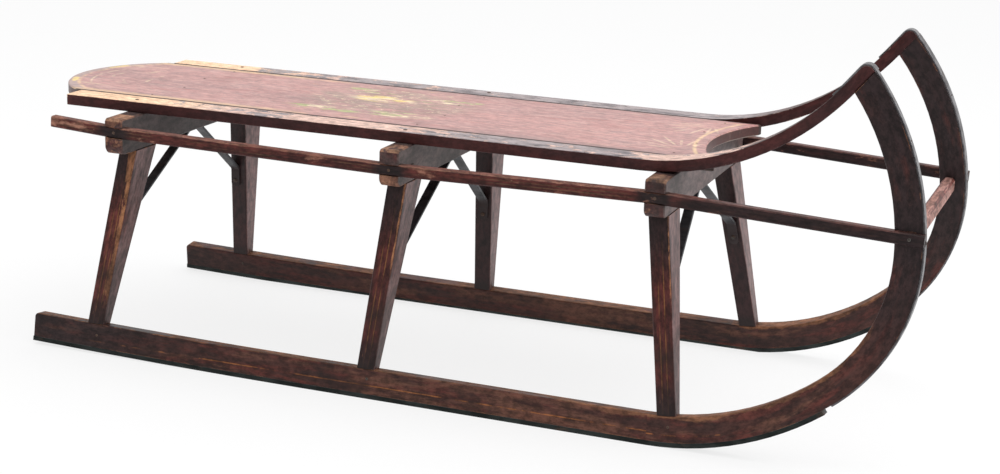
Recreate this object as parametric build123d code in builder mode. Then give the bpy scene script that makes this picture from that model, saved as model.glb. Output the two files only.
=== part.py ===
"""Wooden sled with bent runners: plank deck, three splayed trestles, iron shoes, braces and nose straps.

Millimetres, +X forward, +Y to the rider's left, +Z up, ground at Z = 0 below the middle of the sled.
"""

import os
from math import asin, cos, degrees, hypot, isclose, radians, sin, sqrt, tan

from build123d import *

# Driving dimensions
overall_length = 1134.0
deck_height = 313.5  # ground to the top of the deck
half_track = 202.2  # middle of the sled to the outer bottom edge of a runner
lean_angle = 7.0  # runners lean inwards by this much
seat_gap = 0.5  # room between the deck board and a top rail

# Runners: flat stretch, three tangent sweeps up the front, mitred under the top rail
runner_width = 18.0
runner_depth = 30.0
runner_inset = 45.0  # tail of the deck to the rear end of a runner
runner_round = 2.0  # worn long edges
runner_tail_round = 5.0
rocker_start = 150.0  # behind the middle, where the tail starts to lift off the ground
rocker_radius = 13800.0
low_sweep_radius = 325.0
low_sweep_angle = 38.5
mid_sweep_radius = 211.0
nose_radius = 314.0
nose_angle = 41.5  # from the foremost point up to the tip
shoe_thickness = 5.5
shoe_short = 2.0  # degrees left bare before the end of the first sweep
strap_thickness = 2.0
strap_width = 13.0
strap_tail = 52.0  # length of strap lying back along the top rail
tip_radius = 8.0

# Deck board and top rails
deck_thickness = 13.5
deck_bow = 60.0  # the rounded tail
deck_overhang = 47.0  # front beam to the tips of the front corners
deck_scoop = 32.0  # depth of the hollow front edge
top_rail_width = 34.0
top_rail_inset = 68.0  # from the tail of the deck
top_rail_round = 1.5  # outer edges
deck_arris = 1.5  # worn edges of the board
upturn_angle = 51.0
upturn_straight = 34.0  # straight end of a top rail, after its bend

# Trestles
rear_beam_inset = 164.0  # from the tail of the deck
middle_beam_ahead = 22.0  # of the middle between the other two beams
front_beam_behind = 10.0  # of the start of the runners' sweep
beam_thickness = 24.0
beam_arris = 1.5
post_round = 2.0
beam_depth = 44.0
beam_corner = 10.0  # rounded lower ends
beam_top_chamfer = 3.0
post_foot_width = 22.5  # along the sled
post_head_width = 24.0
post_head_outer = 163.5  # middle of the sled to the outer face, under the beam
post_head_depth = 48.0  # across the sled, under the beam
tenon_thickness = 8.0
tenon_width = 13.0
tenon_length = 15.0
tenon_root = 4.0  # length of a foot tenon inside its post

# Braces
brace_width = 12.0
brace_thickness = 3.0
brace_flat = 30.0  # stretch under the beam
brace_bend = 8.0
brace_foot_length = 28.0
brace_foot_round = 5.0

# Side rails and front bar
side_rail_height = 13.5
side_rail_width = 12.0
side_rail_arris = 1.5
side_rail_inset = 77.0  # from the tail of the deck
side_rail_rear_half = 197.5  # middle of the sled to the outer face, at the rear end
side_rail_rear_drop = 25.0  # top of the deck to the middle of the rail, at the rear end
side_rail_nose_drop = 49.0  # and at the nose
side_rail_lap = 6.0  # depth let into the runner
side_rail_recess = 1.0  # ends of the beams to the outer face of the rail
bar_height = 18.0
bar_thickness = 14.0
bar_chamfer = 3.0
bar_setback = 19.0  # front edge of the runner to the middle of the bar
bar_drop = 57.5  # top of the deck to the middle of the bar
bar_tenon = 8.0

# name, sign of Y
sides = [("right", -1), ("left", 1)]

# Worked out from the sizes above
lean = radians(lean_angle)
runner_top = shoe_thickness + runner_depth  # measured up the leaning face
nose_front = overall_length / 2 - strap_thickness
tail_end = -overall_length / 2
runner_rear = tail_end + runner_inset
top_rail_rear = tail_end + top_rail_inset
side_rail_rear = tail_end + side_rail_inset
side_rail_rear_z = deck_height - side_rail_rear_drop
side_rail_nose_z = deck_height - side_rail_nose_drop
bar_z = deck_height - bar_drop
beam_top = deck_height - deck_thickness
beam_bottom = beam_top - beam_depth

low_angle = radians(low_sweep_angle)
flat_end = (
    nose_front - low_sweep_radius * sin(low_angle) - mid_sweep_radius * (1 - sin(low_angle))
)
low_center = (flat_end, shoe_thickness + low_sweep_radius)
mid_center = (
    low_center[0] + (low_sweep_radius - mid_sweep_radius) * sin(low_angle),
    low_center[1] - (low_sweep_radius - mid_sweep_radius) * cos(low_angle),
)
nose_center = (nose_front - nose_radius, mid_center[1])
rocker_center = (-rocker_start, shoe_thickness + rocker_radius)
rocker_turn = degrees(asin((rocker_center[0] - runner_rear) / rocker_radius))

rear_beam = tail_end + rear_beam_inset
front_beam = flat_end - front_beam_behind
middle_beam = (rear_beam + front_beam) / 2 + middle_beam_ahead
deck_front = front_beam + deck_overhang
# name, middle of the beam along X, how far its feet stand ahead of it, shift of the brace along X,
# underside of the beam to the top of a brace's foot, top of the deck to the middle of the side rail
trestles = [
    ("rear", rear_beam, -30.5, -3.5, 84.0, 30.5),
    ("middle", middle_beam, -21.0, 1.0, 88.0, 37.5),
    ("front", front_beam, 31.5, 1.0, 76.0, 34.5),
]

# Tip of the nose, on the middle of the runner's width, in the X and Z of the sled
tip_turn = radians(nose_angle)
tip_x = nose_center[0] + nose_radius * cos(tip_turn)
tip_up = nose_center[1] + nose_radius * sin(tip_turn)
tip_z = tip_up * cos(lean) - runner_width / 2 * sin(lean)
rail_outer = half_track - tip_up * sin(lean)  # top rails stand in line with the tips
rail_inner = rail_outer - top_rail_width

# Bend of a top rail from the deck up to the tip
turn = radians(upturn_angle)
bend_radius = (tip_z - deck_height - upturn_straight * sin(turn)) / (1 - cos(turn))
bend_start = tip_x - bend_radius * sin(turn) - upturn_straight * cos(turn)
bend_center = (bend_start, deck_height + bend_radius)
rail_way = Vector(cos(turn), sin(turn))
front_way = Vector(sin(tip_turn), -cos(tip_turn))  # down the front edge of the nose
tip = Vector(tip_x, tip_z)
mitre_front = tip + front_way * (deck_thickness / cos(turn - tip_turn))


def bend_point(radius, angle):
    """Point of a curve about the centre of the top rail's bend, in X and Z."""
    return Vector(bend_center[0] + radius * sin(angle), bend_center[1] - radius * cos(angle))


def leaning_plane(sign):
    """Outer face of a runner: X along the sled, Y up the lean."""
    return Plane(
        origin=(0, sign * half_track, 0),
        x_dir=(1, 0, 0),
        z_dir=(0, -cos(lean), -sign * sin(lean)),
    )


def tail_lift(x):
    """Height of the rocker's curve over the ground at a place along the sled."""
    behind = max(rocker_center[0] - x, 0)
    return rocker_radius - sqrt(rocker_radius**2 - behind**2)


def nose_edge(z):
    """Place along the sled of a runner's front edge at a height, from the sweep up to the tip."""
    up = z / cos(lean)
    center, radius = (nose_center, nose_radius) if up > nose_center[1] else (mid_center, mid_sweep_radius)
    return center[0] + sqrt(radius**2 - (up - center[1]) ** 2)


def foot_plane(sign, foot_x):
    """Root of a foot tenon, a little above the runner, looking down into the mortise."""
    face = leaning_plane(sign)
    root_up = runner_top + tail_lift(foot_x) + tenon_root
    root = face.from_local_coords((foot_x, root_up, sign * runner_width / 2))
    return Plane(origin=root, x_dir=(1, 0, 0), z_dir=-face.y_dir)


def runner_face_half(z):
    """Half spacing of the runners' outer faces at a height."""
    return half_track - z * tan(lean)


# Side rails, sprung a little from beam to beam, to a lap in the noses
side_rail_nose_x = nose_edge(side_rail_nose_z) + strap_thickness
side_rail_nose_half = runner_face_half(side_rail_nose_z) + side_rail_width - side_rail_lap
side_rail_run = side_rail_nose_x - side_rail_rear
side_rail_stations = [
    (side_rail_rear, side_rail_rear_z),
    *((beam_x, deck_height - rail_drop) for _, beam_x, _, _, _, rail_drop in trestles),
    (side_rail_nose_x, side_rail_nose_z),
]


def side_rail_half(x):
    """Half spacing of the side rails' outer faces at a place along the sled."""
    share = (x - side_rail_rear) / side_rail_run
    return side_rail_rear_half + share * (side_rail_nose_half - side_rail_rear_half)


def side_rail_stick(sign, arris, spare):
    """Stick from the rear end to the nose. A cutter has spare wood outside and ahead."""
    middle = side_rail_width / 2
    points = [Vector(x, sign * (side_rail_half(x) - middle), z) for x, z in side_rail_stations]
    ahead = (points[-1] - points[-2]).normalized()
    points[-1] = points[-1] + ahead * spare
    along = (points[1] - points[0]).normalized()
    section = Plane(origin=points[0], x_dir=Vector(0, 0, 1).cross(along), z_dir=along)
    with BuildPart() as stick:
        with BuildLine() as way:
            Polyline(*points)
        with BuildSketch(section) as end:
            with Locations((sign * spare / 2, 0)):
                Rectangle(side_rail_width + spare, side_rail_height)
            if arris > 0:
                chamfer(end.vertices(), length=arris)
        sweep(path=way.wire(), transition=Transition.RIGHT)
    return stick.part


def post_inner_half(z):
    """Half spacing of the posts' inner faces at a height."""
    foot_y = half_track - runner_top * sin(lean) - runner_width * cos(lean)
    foot_z = runner_top * cos(lean) - runner_width * sin(lean)
    head_y = post_head_outer - post_head_depth
    return foot_y + (z - foot_z) / (beam_bottom - foot_z) * (head_y - foot_y)


bar_x = nose_edge(bar_z) - bar_setback
post_tenon_half = post_head_outer - post_head_depth / 2
post_tenon_depth = post_head_depth / 2

os.makedirs("parts", exist_ok=True)


def save(piece, name):
    piece.label = name
    export_step(piece, f"parts/{name}.step")


# Deck board, bowed at the tail and hollowed at the front, lying between the top rails
deck_half = rail_inner - seat_gap
with BuildPart() as deck_board:
    with BuildSketch(Plane.XY.offset(beam_top)):
        with BuildLine():
            right_edge = Line((tail_end + deck_bow, -deck_half), (deck_front, -deck_half))
            ThreePointArc(right_edge @ 1, (deck_front - deck_scoop, 0), (deck_front, deck_half))
            left_edge = Line((deck_front, deck_half), (tail_end + deck_bow, deck_half))
            ThreePointArc(left_edge @ 1, (tail_end, 0), right_edge @ 0)
        make_face()
    extrude(amount=deck_thickness)
    chamfer(deck_board.faces().filter_by(Axis.Z).edges(), length=deck_arris)
save(deck_board.part, "deck_board")

for side, sign in sides:
    face = leaning_plane(sign)
    inwards = sign * runner_width

    # Runner: bent wood, flat along the ground, swept up and back to the tip
    with BuildPart() as runner:
        with BuildSketch(face) as runner_side:
            with BuildLine():
                under_tail = CenterArc(rocker_center, rocker_radius, -90 - rocker_turn, rocker_turn)
                Line(under_tail @ 1, (flat_end, shoe_thickness))
                CenterArc(low_center, low_sweep_radius, -90, low_sweep_angle)
                CenterArc(mid_center, mid_sweep_radius, low_sweep_angle - 90, 90 - low_sweep_angle)
                outer_nose = CenterArc(nose_center, nose_radius, 0, nose_angle + 3)
                inner_nose = CenterArc(nose_center, nose_radius - runner_depth, 0, nose_angle + 3)
                Line(outer_nose @ 1, inner_nose @ 1)
                CenterArc(
                    mid_center,
                    mid_sweep_radius - runner_depth,
                    low_sweep_angle - 90,
                    90 - low_sweep_angle,
                )
                CenterArc(low_center, low_sweep_radius - runner_depth, -90, low_sweep_angle)
                over_tail = CenterArc(
                    rocker_center, rocker_radius - runner_depth, -90 - rocker_turn, rocker_turn
                )
                Line((flat_end, runner_top), over_tail @ 1)
                Line(over_tail @ 0, under_tail @ 0)
            make_face()
            fillet(runner_side.vertices().sort_by_distance(over_tail @ 0)[0], radius=runner_tail_round)
        extrude(amount=inwards)
        # the rounding runs on along the whole upper edge from the sweep
        sweep_edges = runner.edges().filter_by(GeomType.CIRCLE).filter_by(
            lambda edge: isclose(edge.radius, low_sweep_radius - runner_depth)
        )
        fillet(sweep_edges, radius=runner_round)
        # mitre: all above the underside of the top rail goes
        with BuildSketch(Plane.XZ):
            with BuildLine():
                below = bend_radius + deck_thickness
                start = bend_point(below, turn / 2)
                finish = bend_point(below, turn) + rail_way * (upturn_straight + runner_depth)
                underside = CenterArc(bend_center, below, degrees(turn) / 2 - 90, degrees(turn) / 2)
                Line(underside @ 1, finish)
                Line(finish, (start.X, finish.Y))
                Line((start.X, finish.Y), start)
            make_face()
        extrude(amount=half_track, both=True, mode=Mode.SUBTRACT)
        # lap for the side rail
        rail_cutter = side_rail_stick(sign, 0, runner_depth)
        add(rail_cutter, mode=Mode.SUBTRACT)
        # mortise for the front bar
        with BuildSketch(Plane.XZ):
            with Locations((bar_x, bar_z)):
                Rectangle(bar_thickness - 2 * bar_chamfer, bar_height - 2 * bar_chamfer)
        extrude(
            amount=runner_face_half(bar_z) - runner_width / cos(lean) + bar_tenon,
            both=True,
            mode=Mode.SUBTRACT,
        )
        for _, beam_x, foot_ahead, _, _, _ in trestles:
            with BuildSketch(foot_plane(sign, beam_x + foot_ahead)):
                Rectangle(tenon_width, tenon_thickness)
            extrude(amount=tenon_root + tenon_length, mode=Mode.SUBTRACT)
    save(runner.part, f"runner_{side}")

    # Shoe: iron under the flat and the first sweep, ground level underneath
    with BuildPart() as shoe:
        with BuildSketch(face):
            with BuildLine():
                sole = CenterArc(
                    rocker_center, rocker_radius + shoe_thickness, -90 - rocker_turn, rocker_turn
                )
                Line(sole @ 1, (flat_end, 0))
                shoe_angle = low_sweep_angle - shoe_short
                tread = CenterArc(low_center, low_sweep_radius + shoe_thickness, -90, shoe_angle)
                seat = CenterArc(low_center, low_sweep_radius, -90, shoe_angle)
                Line(tread @ 1, seat @ 1)
                under_tail = CenterArc(rocker_center, rocker_radius, -90 - rocker_turn, rocker_turn)
                Line((flat_end, shoe_thickness), under_tail @ 1)
                Line(under_tail @ 0, sole @ 0)
            make_face()
        extrude(amount=inwards)
        split(bisect_by=Plane.XY, keep=Keep.TOP)
    save(shoe.part, f"runner_shoe_{side}")

    # Top rail: flat beside the deck, bent up to the tip, narrowing to the runner's width
    with BuildPart() as top_rail:
        with BuildSketch(Plane.XZ) as rail_side:
            with BuildLine():
                Line((top_rail_rear, deck_height), (bend_start, deck_height))
                top_bend = CenterArc(bend_center, bend_radius, -90, upturn_angle)
                Line(top_bend @ 1, tip)
                Line(tip, mitre_front)
                under_bend = CenterArc(bend_center, bend_radius + deck_thickness, -90, upturn_angle)
                Line(mitre_front, under_bend @ 1)
                Line((bend_start, beam_top), (top_rail_rear, beam_top))
                Line((top_rail_rear, beam_top), (top_rail_rear, deck_height))
            make_face()
            fillet(rail_side.vertices().sort_by(Axis.Y)[-1], radius=tip_radius)
        extrude(amount=half_track, both=True)
        with BuildSketch(Plane.XY):
            with BuildLine():
                Polyline(
                    (top_rail_rear, sign * rail_outer),
                    (nose_front, sign * rail_outer),
                    (nose_front, sign * (rail_outer - runner_width)),
                    (tip_x, sign * (rail_outer - runner_width)),
                    (bend_start, sign * rail_inner),
                    (top_rail_rear, sign * rail_inner),
                    close=True,
                )
            make_face()
        extrude(amount=tip_z + runner_depth, mode=Mode.INTERSECT)
        outer_face = top_rail.faces().filter_by(Axis.Y).sort_by(Axis.Y)[-1 if sign > 0 else 0]
        fillet(
            outer_face.edges().filter_by(lambda edge: edge.length > 2 * top_rail_width),
            radius=top_rail_round,
        )
    save(top_rail.part, f"top_rail_{side}")

    # Nose strap: thin iron from the shoe's end up the front edge, over the tip and back
    mitre_turn = asin(
        ((mitre_front.Y + runner_width / 2 * sin(lean)) / cos(lean) - nose_center[1]) / nose_radius
    )
    tail_turn = turn - max(strap_tail - upturn_straight, 0) / bend_radius
    strap_inset = sign * (runner_width - strap_width) / 2
    with BuildPart() as strap:
        with BuildSketch(face.offset(strap_inset)):
            with BuildLine():
                outer_mid = CenterArc(
                    mid_center,
                    mid_sweep_radius + strap_thickness,
                    low_sweep_angle - 90,
                    90 - low_sweep_angle,
                )
                outer_front = CenterArc(
                    nose_center, nose_radius + strap_thickness, 0, degrees(mitre_turn)
                )
                inner_front = CenterArc(nose_center, nose_radius, 0, degrees(mitre_turn))
                Line(outer_front @ 1, inner_front @ 1)
                inner_mid = CenterArc(
                    mid_center, mid_sweep_radius, low_sweep_angle - 90, 90 - low_sweep_angle
                )
                Line(inner_mid @ 0, outer_mid @ 0)
            make_face()
        extrude(amount=sign * strap_width)
        with BuildSketch(Plane.XZ.offset(-sign * (rail_outer - runner_width / 2))) as hook:
            with BuildLine():
                tail_in = CenterArc(
                    bend_center, bend_radius, degrees(tail_turn) - 90, degrees(turn - tail_turn)
                )
                tail_out = CenterArc(
                    bend_center,
                    bend_radius - strap_thickness,
                    degrees(tail_turn) - 90,
                    degrees(turn - tail_turn),
                )
                rail_normal = Vector(-sin(turn), cos(turn))
                front_normal = Vector(cos(tip_turn), sin(tip_turn))
                reach = strap_thickness * (1 - rail_normal.dot(front_normal)) / rail_way.dot(front_normal)
                outer_tip = tip + rail_normal * strap_thickness + rail_way * reach
                Line(tail_in @ 0, tail_out @ 0)
                Line(tail_out @ 1, outer_tip)
                Line(outer_tip, mitre_front + front_normal * strap_thickness)
                Line(mitre_front + front_normal * strap_thickness, mitre_front)
                Line(mitre_front, tip)
                Line(tip, tail_in @ 1)
            make_face()
            fillet(hook.vertices().sort_by_distance(outer_tip)[0], radius=tip_radius + strap_thickness)
            fillet(hook.vertices().sort_by_distance(tip)[0], radius=tip_radius)
        extrude(amount=strap_width / 2, both=True)
        add(runner.part, mode=Mode.SUBTRACT)
        add(top_rail.part, mode=Mode.SUBTRACT)
        add(rail_cutter, mode=Mode.SUBTRACT)
    save(strap.part, f"nose_strap_{side}")

    # Side rail: a slender stick let into the beam ends and the nose
    save(side_rail_stick(sign, side_rail_arris, 0), f"side_rail_{side}")

for name, beam_x, foot_ahead, brace_shift, brace_drop, _ in trestles:
    foot_x = beam_x + foot_ahead
    beam_half = side_rail_half(beam_x) + side_rail_recess

    # Cross beam with rounded lower ends, notched for the side rails and mortised for the posts
    with BuildPart() as beam:
        with BuildSketch(Plane.YZ.offset(beam_x)) as beam_face:
            with Locations((0, beam_bottom + beam_depth / 2)):
                Rectangle(2 * beam_half, beam_depth)
            fillet(beam_face.vertices().group_by(Axis.Y)[0], radius=beam_corner)
            chamfer(beam_face.vertices().group_by(Axis.Y)[-1], length=beam_top_chamfer)
        extrude(amount=beam_thickness / 2, both=True)
        chamfer(beam.faces().filter_by(Axis.X).edges(), length=beam_arris)
        for _, sign in sides:
            add(side_rail_stick(sign, 0, runner_depth), mode=Mode.SUBTRACT)
        with BuildSketch(Plane.XY.offset(beam_bottom)):
            with Locations((beam_x, post_tenon_half), (beam_x, -post_tenon_half)):
                Rectangle(tenon_width, post_tenon_depth)
        extrude(amount=tenon_length, mode=Mode.SUBTRACT)
    save(beam.part, f"cross_beam_{name}")

    # Posts: raked along the sled, splayed and tapered across it, tenoned at both ends
    foot_z = runner_top * cos(lean)
    rake = (beam_x - foot_x) / (beam_bottom - foot_z)
    flare = (post_head_width - post_foot_width) / 2 / (beam_bottom - foot_z)
    low_z, high_z = 0, beam_bottom + tenon_length
    for side, sign in sides:
        with BuildPart() as post:
            with BuildSketch(Plane.YZ.offset(foot_x)):
                outer_foot = half_track - runner_top * sin(lean)
                with BuildLine():
                    Polyline(
                        (sign * outer_foot, foot_z),
                        (
                            sign * (outer_foot - runner_width * cos(lean)),
                            foot_z - runner_width * sin(lean),
                        ),
                        (sign * (post_head_outer - post_head_depth), beam_bottom),
                        (sign * post_head_outer, beam_bottom),
                        close=True,
                    )
                make_face()
            extrude(amount=beam_depth * 2, both=True)
            with BuildSketch(Plane.XZ):
                with BuildLine():
                    edges = []
                    for z in (low_z, high_z):
                        middle = foot_x + rake * (z - foot_z)
                        half = post_foot_width / 2 + flare * (z - foot_z)
                        edges.append(((middle - half, z), (middle + half, z)))
                    (low_back, low_front), (high_back, high_front) = edges
                    Polyline(low_back, low_front, high_front, high_back, close=True)
                make_face()
            extrude(amount=half_track + runner_width, both=True, mode=Mode.INTERSECT)
            # seat: all below the runner's upper edge goes
            with BuildSketch(leaning_plane(sign)):
                with BuildLine():
                    over_tail = CenterArc(
                        rocker_center, rocker_radius - runner_depth, -90 - rocker_turn, rocker_turn
                    )
                    Line(over_tail @ 1, (flat_end, runner_top))
                    rise = CenterArc(
                        low_center, low_sweep_radius - runner_depth, -90, low_sweep_angle
                    )
                    Polyline(rise @ 1, (nose_front, 0), (runner_rear, 0), over_tail @ 0)
                make_face()
            extrude(amount=2 * runner_width, both=True, mode=Mode.SUBTRACT)
            fillet(
                post.edges().filter_by(lambda edge: edge.length > 2 * post_head_depth),
                radius=post_round,
            )
            with BuildSketch(Plane.XY.offset(beam_bottom)):
                with Locations((beam_x, sign * post_tenon_half)):
                    Rectangle(tenon_width, post_tenon_depth)
            extrude(amount=tenon_length)
            with BuildSketch(foot_plane(sign, foot_x)):
                Rectangle(tenon_width, tenon_thickness)
            extrude(amount=tenon_root + tenon_length)
        save(post.part, f"post_{name}_{side}")

    # Brace: flat iron under the beam, bent down to feet on the posts' inner faces, raked as they are
    stretch = hypot(1, rake)
    rake_plane = Plane(
        origin=(beam_x + brace_shift - brace_width / 2, 0, beam_bottom),
        x_dir=(0, 1, 0),
        z_dir=(1, 0, -rake),
    )
    brace_foot_top = beam_bottom - brace_drop
    foot_end = brace_foot_top - brace_foot_length
    with BuildPart() as brace:
        with BuildSketch(rake_plane):
            with BuildLine():
                FilletPolyline(
                    (-post_inner_half(foot_end), (foot_end - beam_bottom) * stretch),
                    (-post_inner_half(brace_foot_top), -brace_drop * stretch),
                    (-brace_flat / 2, 0),
                    (brace_flat / 2, 0),
                    (post_inner_half(brace_foot_top), -brace_drop * stretch),
                    (post_inner_half(foot_end), (foot_end - beam_bottom) * stretch),
                    radius=brace_bend,
                )
                offset(amount=brace_thickness, side=Side.RIGHT)
            make_face()
        extrude(amount=brace_width, dir=(1, 0, 0))
        for end in brace.faces().sort_by(Axis.Z)[:2]:
            fillet(end.edges().sort_by(Edge.length)[:2], radius=brace_foot_round)
    save(brace.part, f"brace_{name}")

# Front bar: a chamfered stick tenoned between the noses
with BuildPart() as front_bar:
    with BuildSketch(Plane.XZ) as bar_section:
        with Locations((bar_x, bar_z)):
            Rectangle(bar_thickness, bar_height)
        chamfer(bar_section.vertices(), length=bar_chamfer)
    extrude(amount=half_track, both=True)
    for _, sign in sides:
        inner_face = leaning_plane(sign).offset(sign * runner_width)
        split(bisect_by=inner_face, keep=Keep.TOP if sign > 0 else Keep.BOTTOM)
    with BuildSketch(Plane.XZ):
        with Locations((bar_x, bar_z)):
            Rectangle(bar_thickness - 2 * bar_chamfer, bar_height - 2 * bar_chamfer)
    extrude(amount=runner_face_half(bar_z) - runner_width / cos(lean) + bar_tenon, both=True)
save(front_bar.part, "front_bar")
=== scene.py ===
"""Looks of a worn child's coasting sled: old paint, bare wood, iron, fasteners, floor, light and camera.

Metres, in the frame of the sled: +X forward, +Y to the rider's left, +Z up, ground at Z = 0.
"""

from __future__ import annotations

import logging
import math
from dataclasses import dataclass, field
from enum import Enum
from functools import partial, reduce
from typing import ClassVar, Iterable, Optional, Union

import bpy
from mathutils import Matrix, Vector


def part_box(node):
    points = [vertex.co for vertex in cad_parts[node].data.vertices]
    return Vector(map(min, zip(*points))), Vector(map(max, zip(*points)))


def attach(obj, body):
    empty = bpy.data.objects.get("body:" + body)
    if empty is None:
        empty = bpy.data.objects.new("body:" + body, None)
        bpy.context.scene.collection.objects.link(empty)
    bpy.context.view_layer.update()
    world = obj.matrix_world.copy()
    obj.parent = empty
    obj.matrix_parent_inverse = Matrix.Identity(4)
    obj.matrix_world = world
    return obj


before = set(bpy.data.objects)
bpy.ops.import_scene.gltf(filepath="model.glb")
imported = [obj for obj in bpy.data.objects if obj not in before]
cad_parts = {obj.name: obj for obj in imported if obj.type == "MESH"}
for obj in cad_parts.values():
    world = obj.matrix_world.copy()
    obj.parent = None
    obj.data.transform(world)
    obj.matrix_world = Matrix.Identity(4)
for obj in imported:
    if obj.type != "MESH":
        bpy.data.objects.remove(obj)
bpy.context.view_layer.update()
LOG = logging.getLogger("sled")

Socket = bpy.types.NodeSocket
Key = Union[int, str]
Colour = tuple[float, float, float]
Point = tuple[float, float]
Waves = tuple[float, float, float]
Stroke = tuple[float, float, float, float, float]
Value = Union["Term", float]
Tint = Union["Term", Colour]

WHITE = (1.0, 1.0, 1.0, 1.0)
UP = Vector((0.0, 0.0, 1.0))
BODY = "root"
MM = 0.001


class Side(Enum):
    """Side of the sled, with the sign of its Y."""

    RIGHT = -1
    LEFT = 1

    @property
    def word(self) -> str:
        """Name of the side inside node names."""
        return self.name.lower()


class Row(Enum):
    """Row of posts, from the tail forward."""

    REAR = "rear"
    MIDDLE = "middle"
    FRONT = "front"


class Head(Enum):
    """Shape of a fastener's head."""

    ROUND_SCREW = "round_screws"
    FLAT_SCREW = "flat_screws"
    NAIL = "nails"
    CUT_NAIL = "cut_nails"


def add_node(
    tree: bpy.types.NodeTree, kind: str, inputs: Optional[dict[Key, object]] = None, **settings: object
) -> bpy.types.Node:
    """Adds a node to a tree.

    Args:
        tree: Tree that gets the node.
        kind: Type of the node.
        inputs: Sockets to link, or values to set, by the name or number of the node's inputs.
        settings: Attributes to set on the node, such as its operation.

    Returns:
        The new node.
    """
    node = tree.nodes.new(kind)
    for name, value in settings.items():
        setattr(node, name, value)
    for key, value in (inputs or {}).items():
        if isinstance(value, Socket):
            tree.links.new(value, node.inputs[key])
        else:
            node.inputs[key].default_value = value
    return node


def wire(
    tree: bpy.types.NodeTree, kind: str, inputs: dict[Key, object], output: Key = 0, **settings: object
) -> Socket:
    """Adds a node to a tree, as add_node does, and gives one of its outputs."""
    return add_node(tree, kind, inputs, **settings).outputs[output]


def link_object(name: str, data: bpy.types.ID) -> bpy.types.Object:
    """Puts a new object in the scene.

    Args:
        name: Name of the object.
        data: Its mesh, camera or lamp.

    Returns:
        The object, at the origin.
    """
    item = bpy.data.objects.new(name, data)
    bpy.context.scene.collection.objects.link(item)
    return item


@dataclass(frozen=True)
class Term:
    """Value, vector or colour inside a finish. Values take the usual signs of arithmetic."""

    graph: Graph
    socket: Socket

    def __add__(self, other: Value) -> Term:
        """Sum."""
        return self.graph.math("ADD", self, other)

    def __sub__(self, other: Value) -> Term:
        """Difference."""
        return self.graph.math("SUBTRACT", self, other)

    def __rsub__(self, other: float) -> Term:
        """Difference from a number."""
        return self.graph.math("SUBTRACT", other, self)

    def __mul__(self, other: Value) -> Term:
        """Product."""
        return self.graph.math("MULTIPLY", self, other)

    def __gt__(self, other: Value) -> Term:
        """Mask that is 1 where this value is the larger."""
        return self.graph.math("GREATER_THAN", self, other)

    def __abs__(self) -> Term:
        """Value without its sign."""
        return self.graph.math("ABSOLUTE", self)

    __radd__ = __add__
    __rmul__ = __mul__


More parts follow.
